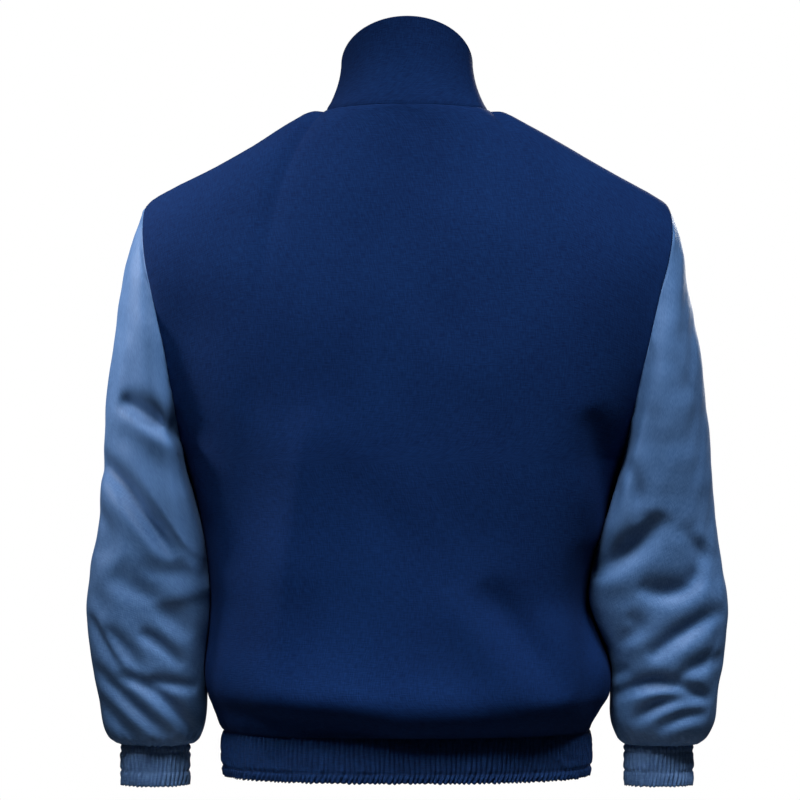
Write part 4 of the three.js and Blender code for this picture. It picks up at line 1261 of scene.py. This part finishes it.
hem_lines = [band_line(bands["hem_band"], hem_grid, height) for height in HEM_ROWS]
row_of(STITCHES, "hem_band_stitches", hem_lines, NAVY_THREAD, STITCH)
for side, (grid, _) in cuff_grids.items():
    node = "cuff_" + named(side)
    lines = [band_line(bands[node], grid, height) for height in CUFF_ROWS]
    loops = [np.r_[line, line[:1]] for line in lines]
    row_of(STITCHES, node + "_stitches", loops, BLUE_THREAD, STITCH)
for side, column in ((LEFT, TOPSTITCH_IN), (RIGHT, -1 - TOPSTITCH_IN)):
    lines = []
    for node, rows in (("front_" + named(side), slice(1, -1)), ("collar", slice(1, -3))):
        proud = shaped[node] + normals(shaped[node], False) * FRONT_PROUD
        lines.append(proud[rows, column])
    row_of(STITCHES, f"front_{named(side)}_stitches", lines, NAVY_THREAD, STITCH)

# %% [markdown]
# ## The zip
#
# A moulded zip is two narrow woven tapes with a row of plastic teeth on each inner edge. It is
# sewn behind the front edges, so only the teeth and a strip of tape show. Teeth repeat, so they
# are set along the line by the same kind of rule as the stitches.

# %% Zip tapes and teeth
TAPE_WALL = 0.8
TEETH_BACK = 2.9  # from the cloth's outer face to the teeth's side of the tape
TOOTH_PITCH = 3.2
TOOTH = {"Pitch": TOOTH_PITCH, "Across": 2.9, "Out": 1.9, "Along": 1.7}
TOOTH_FROM_CENTRE = 0.75
TOOTH_PROUD = 0.3  # how far a tooth's middle lies in front of its tape
ZIP_TOP_DROP = 4  # the tapes end this far below the collar's rim
ZIP_POINTS = 240
# Out from the centre line, and back from the cloth's outer face: level with the teeth at first,
# then up against the back of the cloth it is sewn to.
TAPE_SECTION = ((0.3, TEETH_BACK), (3, TEETH_BACK), (5, 2.3), (7.5, 1.5), (11, 1.7), (15, 2.2))


def zip_line():
    """The front edges' own line, as y and z, from the hem's lower edge to near the rim."""
    parts = [hem_grid[:, 0], front_grids[LEFT][1:, 0], collar_grid[1:, 0]]
    line = np.concatenate(parts)[:, 1:]
    return respaced(line, np.linspace(0, 1 - ZIP_TOP_DROP / lengths(line)[-1], ZIP_POINTS))


def behind(line, amount):
    """The line moved back from the cloth's outer face, square to itself."""
    along = np.gradient(line, axis=0)
    along /= np.linalg.norm(along, axis=1, keepdims=True)
    out = np.stack([-along[:, 1], along[:, 0]], axis=-1)
    return line - out * amount


def at_x(x, line):
    """A line of y and z as points in space."""
    return np.column_stack([np.full(len(line), x), line])


SKIN_GRAIN = 1500.0  # to the metre: the mould's fine grain, 0.7 mm


def moulded():
    """Acetal, injection moulded: evenly coloured, with a slight satin gloss and a fine skin."""
    shades = linear("#0d1a3a"), linear("#182a55")
    material, tree, shader, skin = speckled("moulded acetal teeth", *shades, SKIN_GRAIN)
    relief = add(tree, "ShaderNodeBump", {"Height": skin, "Strength": 0.1, "Distance": 0.0001})
    fill(tree, shader, {"Normal": relief, "Roughness": 0.4, "IOR": 1.48})
    return material


TAPE = woven("twill zip tape", "#0a1734", "#16264c", "#5f86c8", 0.8, 0.3, 0.5, 0.2)
ACETAL = moulded()
TEETH = row_rule("zip teeth", "GeometryNodeMeshCube", {"Size": (1, 1, 1)}, "X")
line = zip_line()
for side, first in ((LEFT, 0.25), (RIGHT, 0.75)):  # where the first tooth lies, in pitches
    node = "zip_tape_" + named(side)
    row = behind(line, TEETH_BACK - TOOTH_PROUD)
    pitch = TOOTH_PITCH / lengths(row)[-1]
    row = respaced(row, np.linspace(pitch * first, 1 - pitch * 2, ZIP_POINTS))
    row = at_x(side * TOOTH_FROM_CENTRE, row)
    teeth = row_of(TEETH, node + "_teeth", [row], ACETAL, TOOTH)
    grid = np.stack([at_x(side * x, behind(line, back)) for x, back in TAPE_SECTION], axis=1)[:, ::side]
    tape = sheet_object(node + "_cloth", grid, False, TAPE)
    give_thickness(tape, TAPE_WALL)
    hand_over(tape, node, flat_cut(grid, False))

# %% [markdown]
# ## Slider and pull
#
# The slider and its pull are die-cast zinc, plated and tumbled, so every edge is slightly
# rounded and catches a thin line of light. The frame's own shapes are right but sharp: a copy
# of each is merged into one skin and bevelled, and stands in for it.

# %% Slider and pull
EDGE_ROUND = {"width": 0.25, "segments": 2, "sharper_than": 35}
WELD_WITHIN = 1e-6  # metres
TUMBLE_MARKS = 1200.0  # to the metre: the grit leaves marks of 0.8 mm


def plated():
    """Nickel plate on die-cast zinc: a satin metal, with fine tumbling marks in its gloss."""
    shades = linear("#8c8e92"), linear("#b4b6b9")
    material, tree, shader, marks = speckled("tumbled nickel plate", *shades, TUMBLE_MARKS, detail=3.0)
    gloss = add(tree, "ShaderNodeMapRange", {
        "Value": marks, "From Min": 0.3, "From Max": 0.7, "To Min": 0.24, "To Max": 0.4,
    })
    fill(tree, shader, {"Roughness": gloss, "Metallic": 1.0})
    return material


NICKEL = plated()
for node, body in (("zip_slider", "jacket"), ("zip_pull", "pull")):
    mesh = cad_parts[node].data.copy()
    mesh.materials.clear()
    mesh.materials.append(NICKEL)
    piece = put_in_scene(node + "_plated", mesh)
    piece.modifiers.new("one skin", "WELD").merge_threshold = WELD_WITHIN
    round_edges(piece, "tumbled edges", **EDGE_ROUND)
    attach(piece, body)
    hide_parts(node)
    print(piece.name, "on", body)

# %% [markdown]
# ## Floor and light
#
# The jacket hangs at the height at which it is worn, with a plain pale floor well below it. A
# broad light stands high behind the jacket, so the hem band falls into the shadow of the cloth
# that blouses over it. A second one, higher on the wearer's right, models the folds there. A
# narrow beam on the wearer's left lifts the lower body and the hem, and another grazes the left
# sleeve from beside it. A dim one in front shows the zip. The world is white to the eye but
# gives only a faint light, so that the folds keep their shade.

# %% Floor and light
FLOOR_Z = -1.42
FLOOR_SIZE = 2.0
WORLD_LIGHT = 0.03
LIGHTS = {  # where it stands, what it is aimed at, its width, the spread of its beam, its watts
    "sleeve light": ((1.7, -0.18, 0.55), (0.31, 0.02, -0.15), 0.4, 20, 0.75),
    "high light": ((0.4, 1.8, 2.1), (0, 0.05, -0.88), 1.0, 42, 6.1),
    "side light": ((-1.1, 1.1, 2.3), (-0.2, 0.05, -0.5), 0.8, 42, 5.0),
    "low light": ((1.2, 2.0, 1.75), (0.03, 0.13, -0.66), 0.3, 12, 0.16),
    "front light": ((-0.7, -2.6, 0.3), (0, -0.05, -0.25), 1.2, 30, 3),
}

bpy.ops.mesh.primitive_plane_add(size=FLOOR_SIZE, location=(0, 0, FLOOR_Z))
floor = bpy.context.object
floor.name = "floor"
pale, tree, shader = new_finish("pale matt floor")
fill(tree, shader, {"Base Color": linear("#b0b0ad"), "Roughness": 0.9})
floor.data.materials.append(pale)

for name, (place, aim, width, spread, power) in LIGHTS.items():
    light = bpy.data.lights.new(name, "AREA")
    light.shape = "DISK"
    light.size = width
    light.energy = power
    light.spread = math.radians(spread)
    lamp = put_in_scene(name, light)
    lamp.location = place
    lamp.rotation_euler = (Vector(aim) - Vector(place)).to_track_quat("-Z", "Y").to_euler()

world = bpy.data.worlds.new("white room")
world.use_nodes = True
bpy.context.scene.world = world
tree = world.node_tree
tree.nodes.clear()
seen = add(tree, "ShaderNodeLightPath").outputs["Is Camera Ray"]
dim = add(tree, "ShaderNodeBackground", {"Color": linear("#ffffff"), "Strength": WORLD_LIGHT})
white = add(tree, "ShaderNodeBackground", {"Color": linear("#ffffff"), "Strength": 1.0})
room = add(tree, "ShaderNodeMixShader", [seen, dim, white])
add(tree, "ShaderNodeOutputWorld", [room])
bpy.context.scene.view_settings.view_transform = "Standard"
print("lights:", ", ".join(LIGHTS))
